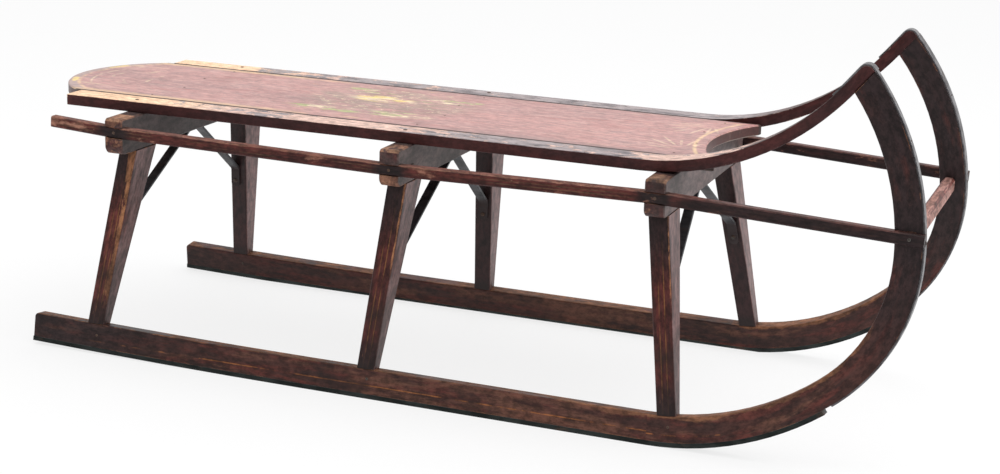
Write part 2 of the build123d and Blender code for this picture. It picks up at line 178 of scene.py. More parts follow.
class Graph:
    """Node tree of one material, with short methods for the nodes that the finishes share."""

    def __init__(self, name: str) -> None:
        """Starts a material with a principled shader.

        Args:
            name: Name of the material.
        """
        self.material = bpy.data.materials.new(name)
        self.material.use_nodes = True
        self.tree = self.material.node_tree
        self.tree.nodes.clear()
        self.shader = add_node(self.tree, "ShaderNodeBsdfPrincipled")
        add_node(self.tree, "ShaderNodeOutputMaterial", {"Surface": self.shader.outputs[0]})
        self.place = self.result("ShaderNodeTexCoord", {}, "Object")
        self.x, self.y, self.z = self.split(self.place)
        self.normal = self.result("ShaderNodeNewGeometry", {}, "True Normal")
        self.facing_x, self.facing_y, self.facing_z = self.split(self.normal)
        # 1 on faces that look away from the middle of the sled, -1 on faces that look towards it
        self.outward = self.facing_y * self.math("SIGN", self.y)

    def result(self, kind: str, inputs: dict[Key, object], output: Key = 0, **settings: object) -> Term:
        """Adds a node and gives one of its outputs.

        Args:
            kind: Type of the node.
            inputs: Terms to link, or values to set, by the name or number of the node's inputs.
            output: Name or number of the output.
            settings: Attributes to set on the node, such as its operation.

        Returns:
            The output.
        """
        sockets = {key: value.socket if isinstance(value, Term) else value for key, value in inputs.items()}
        return Term(self, wire(self.tree, kind, sockets, output, **settings))

    def feed(self, name: str, value: Value) -> None:
        """Fills an input of the shader.

        Args:
            name: Name of the input.
            value: Term to link, or number to set.
        """
        if isinstance(value, Term):
            self.tree.links.new(value.socket, self.shader.inputs[name])
        else:
            self.shader.inputs[name].default_value = value

    def math(self, operation: str, *values: Value) -> Term:
        """Result of a math node."""
        return self.result("ShaderNodeMath", dict(enumerate(values)), operation=operation)

    def greatest(self, *values: Value) -> Term:
        """Largest of several values, or masks laid together."""
        return reduce(partial(self.math, "MAXIMUM"), values)

    def least(self, *values: Value) -> Term:
        """Smallest of several values."""
        return reduce(partial(self.math, "MINIMUM"), values)

    def vector(self, x: Value, y: Value, z: Value) -> Term:
        """Vector of three values."""
        return self.result("ShaderNodeCombineXYZ", {0: x, 1: y, 2: z})

    def split(self, vector: Term) -> tuple[Term, ...]:
        """Three parts of a vector."""
        node = add_node(self.tree, "ShaderNodeSeparateXYZ", {0: vector.socket})
        return tuple(Term(self, socket) for socket in node.outputs)

    def length(self, vector: Term) -> Term:
        """Length of a vector."""
        return self.result("ShaderNodeVectorMath", {0: vector}, "Value", operation="LENGTH")

    def choose(self, share: Value, first: Term, second: Term) -> Term:
        """Blend of two vectors by a share of the second."""
        return self.result("ShaderNodeMix", {0: share, 4: first, 5: second}, 1, data_type="VECTOR")

    def mix(self, share: Value, first: Tint, second: Tint) -> Term:
        """Blend of two colours by a share of the second."""
        first, second = (tint if isinstance(tint, Term) else (*tint, 1.0) for tint in (first, second))
        return self.result("ShaderNodeMix", {0: share, 6: first, 7: second}, 2, data_type="RGBA")

    def shade(self, colour: Term, factor: Value) -> Term:
        """Colour made lighter or darker by a factor."""
        return self.result("ShaderNodeVectorMath", {0: colour, "Scale": factor}, operation="SCALE")

    def round_bend(self, centre: Point, radius: float, start: float, turn: float) -> Term:
        """Place along and above a bent strip of wood.

        Args:
            centre: Centre of the bend, as X and Z.
            radius: Radius of the strip's lower edge.
            start: Length of strip before the bend.
            turn: Direction at which the bend starts, in degrees from straight down.

        Returns:
            Vector of the length along the strip, Y, and the height over the lower edge.
        """
        x, below = self.x - centre[0], centre[1] - self.z
        angle = self.math("ARCTAN2", x, below) - math.radians(turn)
        height = radius - self.length(self.vector(x, 0.0, below))
        return self.vector(angle * radius + start, self.y, height)

    def noise(self, scale: Iterable[float], shift: float, detail: float = 4.0, rough: float = 0.6) -> Term:
        """Soft noise over the piece.

        Args:
            scale: Waves per metre along X, Y and Z.
            shift: Shift of the pattern, to tell two noises apart.
            detail: Octaves of finer noise.
            rough: Strength of the finer octaves.

        Returns:
            Values from about 0.2 to 0.8.
        """
        stretch = {"Vector": self.place, "Location": (shift,) * 3, "Scale": tuple(scale)}
        place = self.result("ShaderNodeMapping", stretch)
        waves = {"Vector": place, "Scale": 1.0, "Detail": detail, "Roughness": rough}
        return self.result("ShaderNodeTexNoise", waves, "Fac")

    def step(self, value: Value, low: float, high: float) -> Term:
        """Smooth step.

        Args:
            value: Value to follow.
            low: Where the step is 0.
            high: Where the step is 1, which may lie below low.

        Returns:
            Values from 0 to 1.
        """
        ends = {"From Min": min(low, high), "From Max": max(low, high)}
        rise = {"To Min": float(high < low), "To Max": float(high >= low)}
        inputs = {"Value": value, **ends, **rise}
        return self.result("ShaderNodeMapRange", inputs, interpolation_type="SMOOTHSTEP")

    def band(self, value: Value, middle: float, width: float, blur: float) -> Term:
        """Mask that is 1 where a value is within half a width of the middle."""
        return self.step(abs(value - middle), width / 2 + blur, width / 2 - blur)

    def edge(self, radius: float) -> Term:
        """Mask of the sharp edges of a piece.

        Args:
            radius: How far in from an edge it reaches.

        Returns:
            Values from 0 on flats to 1 on the edge itself.
        """
        soft = self.result("ShaderNodeBevel", {"Radius": radius}, samples=6)
        both = {0: soft, 1: self.normal}
        alike = self.result("ShaderNodeVectorMath", both, "Value", operation="DOT_PRODUCT")
        return self.step(alike, 0.99, 0.80)

    def bump(self, height: Term, distance: float, strength: float) -> None:
        """Raises the surface, on softened edges.

        Args:
            height: Height of the relief.
            distance: Depth of the relief.
            strength: Share of the relief that shows.
        """
        soft = self.result("ShaderNodeBevel", {"Radius": 0.8 * MM}, samples=4)
        relief = {"Strength": strength, "Distance": distance, "Height": height, "Normal": soft}
        self.feed("Normal", self.result("ShaderNodeBump", relief))

    def finish(self, colour: Term, roughness: Term) -> bpy.types.Material:
        """Joins colour and roughness to the shader.

        Args:
            colour: Colour of the surface.
            roughness: Roughness of the surface.

        Returns:
            The finished material.
        """
        self.feed("Base Color", colour)
        self.feed("Roughness", roughness)
        return self.material


@dataclass(frozen=True)
class PaintedWood:
    """Old paint over wood: two tones of paint, two of bare wood, grain, edge wear, grime and chips."""

    name: str
    paint: Colour
    paint_dark: Colour
    wood: Colour
    wood_dark: Colour
    grain: Waves = (5.0, 90.0, 90.0)
    edge_radius: float = 3.0 * MM
    edge_wear: float = 0.5
    chips: float = 0.66
    gloss: float = 0.42
    specular: float = 0.25
    grime: float = 0.6
    specks: float = 0.5
    dirt: Colour = (0.022, 0.016, 0.014)

    def lay(self, graph: Graph) -> None:
        """Turns the patterns to follow the wood. A straight piece along X needs nothing."""

    def wood_colour(self, graph: Graph) -> Term:
        """Bare wood with its grain."""
        figure = graph.noise(self.grain, 3.1, 6.0, 0.68)
        return graph.mix(graph.step(figure, 0.36, 0.64), self.wood, self.wood_dark)

    def paint_colour(self, graph: Graph) -> Term:
        """Two tones of paint in soft clouds, streaked along the grain.

        Args:
            graph: Node tree.

        Returns:
            The colour.
        """
        clouds = graph.noise((9.0, 12.0, 12.0), 1.7, 5.0, 0.65)
        streaks = graph.noise(self.grain, 5.3, 6.0, 0.66)
        share = streaks * 0.5 + clouds * 0.5
        return graph.mix(graph.step(share, 0.42, 0.58), self.paint, self.paint_dark)

    def edges(self, graph: Graph) -> Term:
        """Mask of the paint rubbed off the edges, broken up by noise.

        Args:
            graph: Node tree.

        Returns:
            Mask that is 1 on rubbed edges.
        """
        rub = graph.noise((24.0, 34.0, 34.0), 9.2, 6.0, 0.68)
        level = graph.edge(self.edge_radius) * graph.step(rub, 0.34, 0.66)
        return graph.step(level, 1.0 - self.edge_wear, 1.15 - self.edge_wear)

    def bare(self, graph: Graph) -> Term:
        """Mask of bare wood: rubbed edges and small chips."""
        fleck = graph.noise(tuple(0.8 * value + 22.0 for value in self.grain), 12.4, 6.0, 0.62)
        return graph.greatest(self.edges(graph), graph.step(fleck, self.chips, self.chips + 0.03))

    def marks(self, graph: Graph, colour: Term) -> Term:
        """Painted lines and stains on the paint. Plain paint has none."""
        return colour

    def soil(self, graph: Graph, colour: Term) -> Term:
        """Marks over paint and bare wood alike. Plain paint has none."""
        return colour

    def build(self) -> bpy.types.Material:
        """Makes the material.

        Returns:
            A new material with colour, roughness and bump.
        """
        graph = Graph(self.name)
        self.lay(graph)
        bare = self.bare(graph)
        painted = self.marks(graph, self.paint_colour(graph))
        colour = graph.mix(bare, painted, self.wood_colour(graph))
        fine = graph.noise(tuple(1.2 * value + 70.0 for value in self.grain), 71.0, 6.0, 0.72)
        speckled = 1.0 - self.specks + graph.step(fine, 0.34, 0.66) * (2 * self.specks)
        colour = graph.shade(colour, speckled)
        grime = graph.noise((15.0, 18.0, 18.0), 21.0, 7.0, 0.66)
        soiled = graph.step(grime, 0.50, 0.70) * self.grime
        colour = self.soil(graph, graph.mix(soiled, colour, self.dirt))
        fibres = graph.noise(tuple(2.2 * value for value in self.grain), 7.7, 5.0)
        graph.bump(fibres - bare * 0.8, 0.35 * MM, 0.55)
        graph.feed("Specular IOR Level", self.specular)
        return graph.finish(colour, grime * 0.22 + self.gloss - 0.11 + bare * 0.22)


@dataclass(frozen=True)
class DeckPaint(PaintedWood):
    """Dusty rose paint with a cream border line, corner sprays and a worn leaf decoration."""

    tail: float = 0.0
    front: float = 0.0
    half: float = 0.0
    bow: float = 60.0 * MM
    scoop: float = 32.0 * MM
    pale: Colour = (0.60, 0.36, 0.32)
    mauve: Colour = (0.26, 0.160, 0.155)
    deep: Colour = (0.42, 0.155, 0.140)
    tan: Colour = (0.74, 0.49, 0.27)
    lining: Colour = (0.80, 0.56, 0.31)
    cream: Colour = (0.82, 0.66, 0.44)
    leaf: Colour = (0.40, 0.46, 0.16)
    yellow: Colour = (0.88, 0.66, 0.18)
    underside: Colour = (0.13, 0.070, 0.045)
    side: Colour = (0.074, 0.020, 0.016)
    # dark of painted shade in the gap beside the rails
    seam: Colour = (0.050, 0.028, 0.023)
    ground: Colour = (0.26, 0.22, 0.15)
    rubbed: Colour = (0.40, 0.31, 0.29)
    score: Colour = (0.14, 0.080, 0.070)
    line_inset: float = 13.5 * MM
    middle: float = 427.0 * MM
    stroke_width: float = 4.2 * MM
    # strokes as X from the tail or from the middle, Y, turn in degrees, length and width; lengths in mm
    curls: tuple[Stroke, ...] = (
        (49, 9, 70.0, 20, 5), (80, 34, 52.0, 22, 5), (84, 46, 8.0, 26, 5), (106, 17, 84.0, 30, 6),
        (60, 70, 8.0, 60, 8))
    leaves: tuple[Stroke, ...] = (
        (-46, -64, -2.0, 124, 34), (52, -58, 3.0, 116, 36), (78, 48, 14.0, 96, 30), (-40, 66, -16.0, 90, 24))

    def paint_colour(self, graph: Graph) -> Term:
        """Rose paint clouded with mauve, streaked pale and dark along the board.

        Args:
            graph: Node tree.

        Returns:
            The colour.
        """
        clouds = graph.noise((6.0, 15.0, 10.0), 1.7, 6.0, 0.66)
        colour = graph.mix(graph.step(clouds, 0.40, 0.62), self.paint, self.paint_dark)
        pale = graph.noise((20.0, 110.0, 40.0), 5.3, 8.0, 0.72)
        colour = graph.mix(graph.step(pale, 0.49, 0.64) * 0.65, colour, self.pale)
        dark = graph.noise((16.0, 90.0, 40.0), 6.9, 8.0, 0.74)
        colour = graph.mix(graph.step(dark, 0.50, 0.66) * 0.6, colour, self.mauve)
        deep = graph.noise((11.0, 60.0, 40.0), 13.9, 7.0, 0.7)
        colour = graph.mix(graph.step(deep, 0.54, 0.66) * 0.7, colour, self.deep)
        specks = graph.noise((110.0, 190.0, 60.0), 9.7, 3.0, 0.6)
        colour = graph.mix(graph.step(specks, 0.56, 0.66) * 0.45, colour, self.pale)
        return graph.mix(graph.step(specks, 0.44, 0.34) * 0.5, colour, self.mauve)

    def insets(self, graph: Graph) -> tuple[Term, Term, Term]:
        """Distances in from the straight sides, the bowed tail and the hollow front.

        Args:
            graph: Node tree.

        Returns:
            The three distances.
        """
        from_side = self.half - abs(graph.y)
        bow_radius = (self.half**2 + self.bow**2) / (2 * self.bow)
        bow_x = graph.least(graph.x - (self.tail + bow_radius), 0.0)
        from_tail = bow_radius - graph.length(graph.vector(bow_x, graph.y, 0.0))
        scoop_radius = (self.half**2 + self.scoop**2) / (2 * self.scoop)
        scoop_x = graph.x - (self.front - self.scoop + scoop_radius)
        from_front = graph.length(graph.vector(scoop_x, graph.y, 0.0)) - scoop_radius
        return from_side, from_tail, from_front

    def stroke(
        self, graph: Graph, x: float, y: float, turn: float, length: float, width: float, folded: bool = True
    ) -> Term:
        """Mask of one brush stroke.

        Args:
            graph: Node tree.
            x: Middle of the stroke along the board.
            y: Middle of the stroke across the board.
            turn: Direction of the stroke in degrees.
            length: Length of the stroke.
            width: Width of the stroke.
            folded: Whether the stroke is on both halves of the board.

        Returns:
            Mask that is 1 inside the stroke.
        """
        inputs = {
            "Vector": graph.vector(graph.x, abs(graph.y) if folded else graph.y, 0.0),
            "Location": (x, y, 0.0),
            "Rotation": (0.0, 0.0, math.radians(turn)),
            "Scale": (length / 2, width / 2, 1.0),
        }
        inside = graph.result("ShaderNodeMapping", inputs, vector_type="TEXTURE")
        return graph.step(graph.length(inside), 1.0, 0.6)

    def strokes(self, graph: Graph, start: float, strokes: Iterable[Stroke], folded: bool = True) -> Term:
        """Mask of several brush strokes.

        Args:
            graph: Node tree.
            start: Place along the board that the strokes are measured from.
            strokes: The strokes.
            folded: Whether they are on both halves of the board.

        Returns:
            Mask that is 1 inside the strokes.
        """
        return graph.greatest(*(
            self.stroke(graph, start + x * MM, y * MM, turn, length * MM, width * MM, folded)
            for x, y, turn, length, width in strokes))

    def fan(self, graph: Graph, x: float, y: float, turns: Iterable[float], length: float) -> Term:
        """Mask of a fan of strokes out of one root, the middle ones longest.

        Args:
            graph: Node tree.
            x: Root of the fan along the board.
            y: Root of the fan out from the middle of the board.
            turns: Directions of the strokes in degrees.
            length: Length of the longest stroke.

        Returns:
            Mask that is 1 inside the strokes.
        """
        turns = list(turns)
        strokes = []
        for index, turn in enumerate(turns):
            share = 1.0 - abs(2 * index / (len(turns) - 1) - 1.0)
            reach = length * (0.62 + 0.38 * share)
            away = Vector((math.cos(math.radians(turn)), math.sin(math.radians(turn)))) * (reach * 0.66)
            strokes.append(self.stroke(graph, x + away.x, y + away.y, turn, reach, self.stroke_width))
        return graph.greatest(*strokes)

    def marks(self, graph: Graph, colour: Term) -> Term:
        """Worn margins, border line, corner sprays and the leaf decoration, on the top face only.

        Args:
            graph: Node tree.
            colour: Plain paint.

        Returns:
            The decorated paint.
        """
        from_side, from_tail, from_front = self.insets(graph)
        ragged = graph.noise((26.0, 80.0, 40.0), 31.0, 6.0, 0.66)
        margin = graph.step(from_tail, 14 * MM, 9 * MM)
        colour = graph.mix(margin * 0.7, colour, self.rubbed)
        edge = from_side + ragged * (16 * MM)
        drift = graph.noise((7.0, 12.0, 12.0), 36.0, 3.0)
        kept = graph.step(drift + graph.step(graph.x, -0.10, -0.40) * 0.26, 0.58, 0.72)
        strip = graph.step(edge, 24 * MM, 17 * MM) * kept
        colour = graph.mix(strip * 0.7, colour, self.tan)
        grime = graph.step(edge, 34 * MM, 14 * MM) * graph.step(graph.y, 0.02, -0.02)
        grime = grime * graph.step(graph.x, -0.16, 0.08)
        colour = graph.mix(grime * 0.5, colour, self.mauve)

        inset = graph.least(from_side, from_tail, from_front)
        line = graph.band(inset, self.line_inset, 4.2 * MM, 1.6 * MM)
        kept = ragged + graph.step(from_front, 34 * MM, 16 * MM) * 0.24
        kept = kept + graph.step(from_tail, 34 * MM, 16 * MM) * 0.12
        line = line * graph.step(kept, 0.52, 0.74)
        colour = graph.mix(line * 0.78, colour, self.lining)
        colour = self.sprays(graph, colour, inset, ragged)
        colour = self.decoration(graph, colour)
        top = graph.step(graph.facing_z, 0.45, 0.65)
        side = graph.mix(graph.step(graph.facing_z, -0.2, -0.6), self.side, self.underside)
        return graph.mix(top, side, colour)

    def sprays(self, graph: Graph, colour: Term, inset: Term, ragged: Term) -> Term:
        """Brushed fans and curls in the four corners.

        Args:
            graph: Node tree.
            colour: Paint so far.
            inset: Distance in from the outline.
            ragged: Noise that breaks the strokes.

        Returns:
            The paint with the corner sprays.
        """
        front = self.fan(graph, self.front - 50 * MM, 74 * MM, range(-176, -67, 18), 64 * MM)
        inner = graph.band(inset, 29 * MM, 2.6 * MM, 0.8 * MM)
        inner = inner * graph.step(graph.x, self.tail + 62 * MM, self.tail + 40 * MM)
        thin = graph.greatest(front, inner, self.strokes(graph, self.tail, self.curls))
        thin = thin * graph.step(ragged, 0.38, 0.58)
        colour = graph.mix(thin * 0.55, colour, self.cream)
        blob = self.stroke(graph, self.tail + 19 * MM, 52 * MM, 66.0, 40 * MM, 10 * MM)
        brushed = blob * graph.step(ragged, 0.36, 0.56)
        return graph.mix(brushed * 0.85, colour, self.yellow)

    def decoration(self, graph: Graph, colour: Term) -> Term:
        """Worn spray of leaves about a blossom, cream, yellow and green on a darkened ground.

        Args:
            graph: Node tree.
            colour: Paint so far.

        Returns:
            The paint with the decoration.
        """
        middle = self.tail + self.middle
        ground = self.stroke(graph, middle + 8 * MM, 14 * MM, 0.0, 260 * MM, 200 * MM, False)
        streaks = graph.noise((34.0, 120.0, 40.0), 47.0, 7.0, 0.68)
        flecks = graph.noise((70.0, 150.0, 60.0), 44.0, 6.0, 0.66)
        shade = ground * graph.step(streaks, 0.40, 0.60)
        colour = graph.mix(shade * 0.55, colour, self.ground)
        leaves = self.strokes(graph, middle, self.leaves, False)
        tint = graph.noise((30.0, 60.0, 30.0), 52.0, 4.0)
        green = graph.mix(graph.step(tint, 0.46, 0.54), self.leaf, self.cream)
        painted = leaves * graph.step(streaks, 0.46, 0.56)
        colour = graph.mix(painted * 0.9, colour, green)
        blossom = self.stroke(graph, middle - 6 * MM, 24 * MM, -3.0, 104 * MM, 46 * MM, False)
        gold = graph.mix(graph.step(tint, 0.44, 0.58), self.yellow, self.cream)
        bloomed = blossom * graph.step(streaks, 0.42, 0.53)
        colour = graph.mix(bloomed * 0.92, colour, gold)
        spots = ground * graph.step(flecks, 0.585, 0.635)
        return graph.mix(spots * 0.85, colour, self.cream)

    def soil(self, graph: Graph, colour: Term) -> Term:
        """Painted shade in the gap beside the rails, and fine drag marks along the board.

        Args:
            graph: Node tree.
            colour: Worn paint.

        Returns:
            The soiled paint.
        """
        fine = graph.noise((16.0, 240.0, 60.0), 61.0, 4.0)
        scored = graph.step(fine, 0.62, 0.68) * 0.55
        colour = graph.mix(scored, colour, self.score)
        # painted shade: a dark line along the sides, where the deck meets the rails
        seam = graph.step(self.insets(graph)[0], 4.6 * MM, 3.0 * MM)
        return graph.mix(seam * 0.94, colour, self.seam)


@dataclass(frozen=True)
class RailPaint(PaintedWood):
    """Maroon sides and a worn slate-lilac top, rubbed to the wood in patches and bare at the rear."""

    tail: float = 0.0
    inner: float = 0.0
    top: float = 0.0
    bend_start: float = 244.7 * MM
    bend_radius: float = 283.2 * MM
    bare_length: float = 120.0 * MM
    top_paint: Colour = (0.340, 0.284, 0.288)
    top_dark: Colour = (0.150, 0.126, 0.135)
    greyed: Colour = (0.74, 0.520, 0.440)
    greyed_dark: Colour = (0.56, 0.380, 0.325)
    bend_paint: Colour = (0.098, 0.036, 0.030)
    bend_dark: Colour = (0.048, 0.026, 0.025)
    # dark of painted shade in the gap beside the deck
    seam: Colour = (0.050, 0.028, 0.023)

    def lay(self, graph: Graph) -> None:
        """Lets the patterns run round the bend.

        Args:
            graph: Node tree.
        """
        bend = (self.bend_start, self.top + self.bend_radius)
        curved = graph.round_bend(bend, self.bend_radius, self.bend_start, 0.0)
        flat = graph.vector(graph.x, graph.y, graph.z - self.top)
        graph.place = graph.choose(graph.x > self.bend_start, flat, curved)

    def wood_colour(self, graph: Graph) -> Term:
        """Clean wood at the rear, greyed further forward.

        Args:
            graph: Node tree.

        Returns:
            The colour.
        """
        figure = graph.noise((40.0, 140.0, 60.0), 6.1, 6.0, 0.68)
        greyed = graph.mix(graph.step(figure, 0.38, 0.62), self.greyed, self.greyed_dark)
        ahead = graph.step(graph.x, self.tail + 0.10, self.tail + 0.24)
        return graph.mix(ahead, super().wood_colour(graph), greyed)

    def bent(self, graph: Graph) -> Term:
        """Mask of the bent stretch, ahead of the deck."""
        return graph.step(graph.x, self.bend_start + 40 * MM, self.bend_start + 120 * MM)

    def bare(self, graph: Graph) -> Term:
        """Edges and chips, and on top long rubbed patches and the bare rear end.

        Args:
            graph: Node tree.

        Returns:
            Mask that is 1 on bare wood.
        """
        top = graph.step(graph.facing_z, 0.55, 0.75)
        patch = graph.noise((46.0, 84.0, 34.0), 2.2, 8.0, 0.72)
        drift = graph.noise((6.0, 11.0, 9.0), 4.1, 3.0)
        behind = graph.step(graph.x, self.tail + 0.85, self.tail + 0.20)
        level = patch + drift * 0.5 + behind * 0.12 - graph.step(graph.y, -0.01, 0.01) * 0.06
        near = graph.step(graph.y, 0.01, -0.01)
        seat = near * graph.band(graph.x, -0.12, 0.20, 0.05)
        turn = near * graph.band(graph.x, 0.31, 0.13, 0.03)
        kept = near * graph.band(graph.x, 0.13, 0.16, 0.05)
        level = level + seat * 0.10 + turn * 0.16 - kept * 0.05 - self.bent(graph) * 0.03
        end = graph.x + patch * (90 * MM)
        rear = graph.step(end - self.tail, self.bare_length + 52 * MM, self.bare_length + 38 * MM)
        rubbed = graph.greatest(graph.step(level, 0.83, 0.87), rear)
        return graph.greatest(top * rubbed, super().bare(graph))

    def marks(self, graph: Graph, colour: Term) -> Term:
        """Slate paint on the top face, clouded darker.

        Args:
            graph: Node tree.
            colour: Plain paint.

        Returns:
            The paint on all faces.
        """
        top = graph.step(graph.facing_z, 0.55, 0.75)
        cloud = graph.noise((26.0, 70.0, 30.0), 8.8, 6.0, 0.66)
        slate = graph.mix(graph.step(cloud, 0.46, 0.64), self.top_paint, self.top_dark)
        dots = graph.noise((75.0, 140.0, 60.0), 11.3, 5.0, 0.66)
        slate = graph.mix(graph.step(dots, 0.60, 0.66) * 0.8, slate, self.bend_dark)
        brown = graph.mix(graph.step(cloud, 0.40, 0.60), self.bend_paint, self.bend_dark)
        return graph.mix(top, colour, graph.mix(self.bent(graph), slate, brown))

    def soil(self, graph: Graph, colour: Term) -> Term:
        """Painted shade in the gap along the deck side of the top.

        Args:
            graph: Node tree.
            colour: Worn paint.

        Returns:
            The soiled paint.
        """
        # painted shade: a dark line along the inner edge of the top, where the rail meets the deck
        across = abs(graph.y) - self.inner
        seam = graph.step(across, 2.6 * MM, 1.2 * MM)
        return graph.mix(seam * 0.92, colour, self.seam)


@dataclass(frozen=True)
class RunnerPaint(PaintedWood):
    """Brown-maroon paint with an orange line along the face, darkened ends and worn upper edges."""

    tail: float = 0.0
    foot: float = 5.5 * MM
    flat_end: float = 283.03 * MM
    low: Point = (283.03 * MM, 328.0 * MM)
    low_radius: float = 325.0 * MM
    low_turn: float = 38.5
    mid: Point = (354.0 * MM, 239.5 * MM)
    mid_radius: float = 211.0 * MM
    nose: Point = (251.0 * MM, 239.5 * MM)
    nose_radius: float = 314.0 * MM
    line_height: float = 10.5 * MM
    line_colour: Colour = (0.36, 0.125, 0.036)
    red: Colour = (0.120, 0.030, 0.023)
    brown: Colour = (0.165, 0.072, 0.046)
    soot: Colour = (0.025, 0.0155, 0.0165)

    def lay(self, graph: Graph) -> None:
        """Lets the patterns run along the flat and round the three sweeps.

        Args:
            graph: Node tree.
        """
        low_end = self.flat_end + self.low_radius * math.radians(self.low_turn)
        mid_end = low_end + self.mid_radius * math.radians(90.0 - self.low_turn)
        flat = graph.vector(graph.x, graph.y, graph.z - self.foot)
        low = graph.round_bend(self.low, self.low_radius, self.flat_end, 0.0)
        mid = graph.round_bend(self.mid, self.mid_radius, low_end, self.low_turn)
        nose = graph.round_bend(self.nose, self.nose_radius, mid_end, 90.0)
        place = graph.choose(graph.x > self.flat_end, flat, low)
        past = graph.split(low)[0] > low_end
        place = graph.choose(past * (graph.x > self.mid[0]), place, mid)
        graph.place = graph.choose(graph.z > self.nose[1], place, nose)

    def bare(self, graph: Graph) -> Term:
        """Edges and chips, and patches on the upper face.

        Args:
            graph: Node tree.

        Returns:
            Mask that is 1 on bare wood.
        """
        upper = graph.step(graph.facing_z, 0.45, 0.8)
        patch = graph.noise((18.0, 60.0, 30.0), 15.5, 7.0, 0.66)
        low = graph.step(graph.z, 0.20, 0.10)
        rubbed = upper * low * graph.step(patch, 0.44, 0.54)
        height = graph.split(graph.place)[2]
        rim = height + (patch - 0.5) * (26 * MM)
        rim = graph.step(rim, 26.5 * MM, 28.5 * MM) * graph.step(graph.x, self.tail + 0.70, self.tail + 0.84)
        return graph.greatest(rubbed, rim * low, super().bare(graph))

    def marks(self, graph: Graph, colour: Term) -> Term:
        """Orange line, red remnants of paint and soot-dark ends.

        Args:
            graph: Node tree.
            colour: Plain paint.

        Returns:
            The marked paint.
        """
        red = graph.noise((13.0, 30.0, 90.0), 25.0, 7.0, 0.68)
        colour = graph.mix(graph.step(red, 0.48, 0.62) * 0.75, colour, self.red)
        brown = graph.noise((10.0, 30.0, 70.0), 57.0, 7.0, 0.68)
        brown = brown + graph.band(graph.x, 0.12, 0.34, 0.14) * 0.14
        brown = graph.step(brown, 0.54, 0.68) * graph.step(graph.z, 0.14, 0.06)
        colour = graph.mix(brown * 0.68, colour, self.brown)
        flank = graph.step(graph.outward, 0.7, 0.9)
        breaks = graph.step(graph.noise((26.0, 8.0, 30.0), 33.0, 6.0, 0.66), 0.44, 0.54)
        line = graph.band(graph.split(graph.place)[2], self.line_height, 1.3 * MM, 0.5 * MM)
        reach = graph.step(graph.x, self.tail + 60 * MM, self.tail + 110 * MM)
        line = line * flank * breaks * reach * graph.step(graph.x, 0.42, 0.34)
        colour = graph.mix(line * 0.85, colour, self.line_colour)
        rear = graph.step(graph.x, self.tail + 260 * MM, self.tail + 20 * MM)
        rear = rear * (0.4 + graph.step(graph.y, 0.05, -0.05) * 0.6)
        ends = graph.greatest(rear, graph.step(graph.z, 0.08, 0.24))
        cloud = graph.noise((14.0, 16.0, 40.0), 41.0, 7.0, 0.66)
        ends = ends * graph.step(cloud, 0.24, 0.50)
        return graph.mix(ends * 0.93, colour, self.soot)


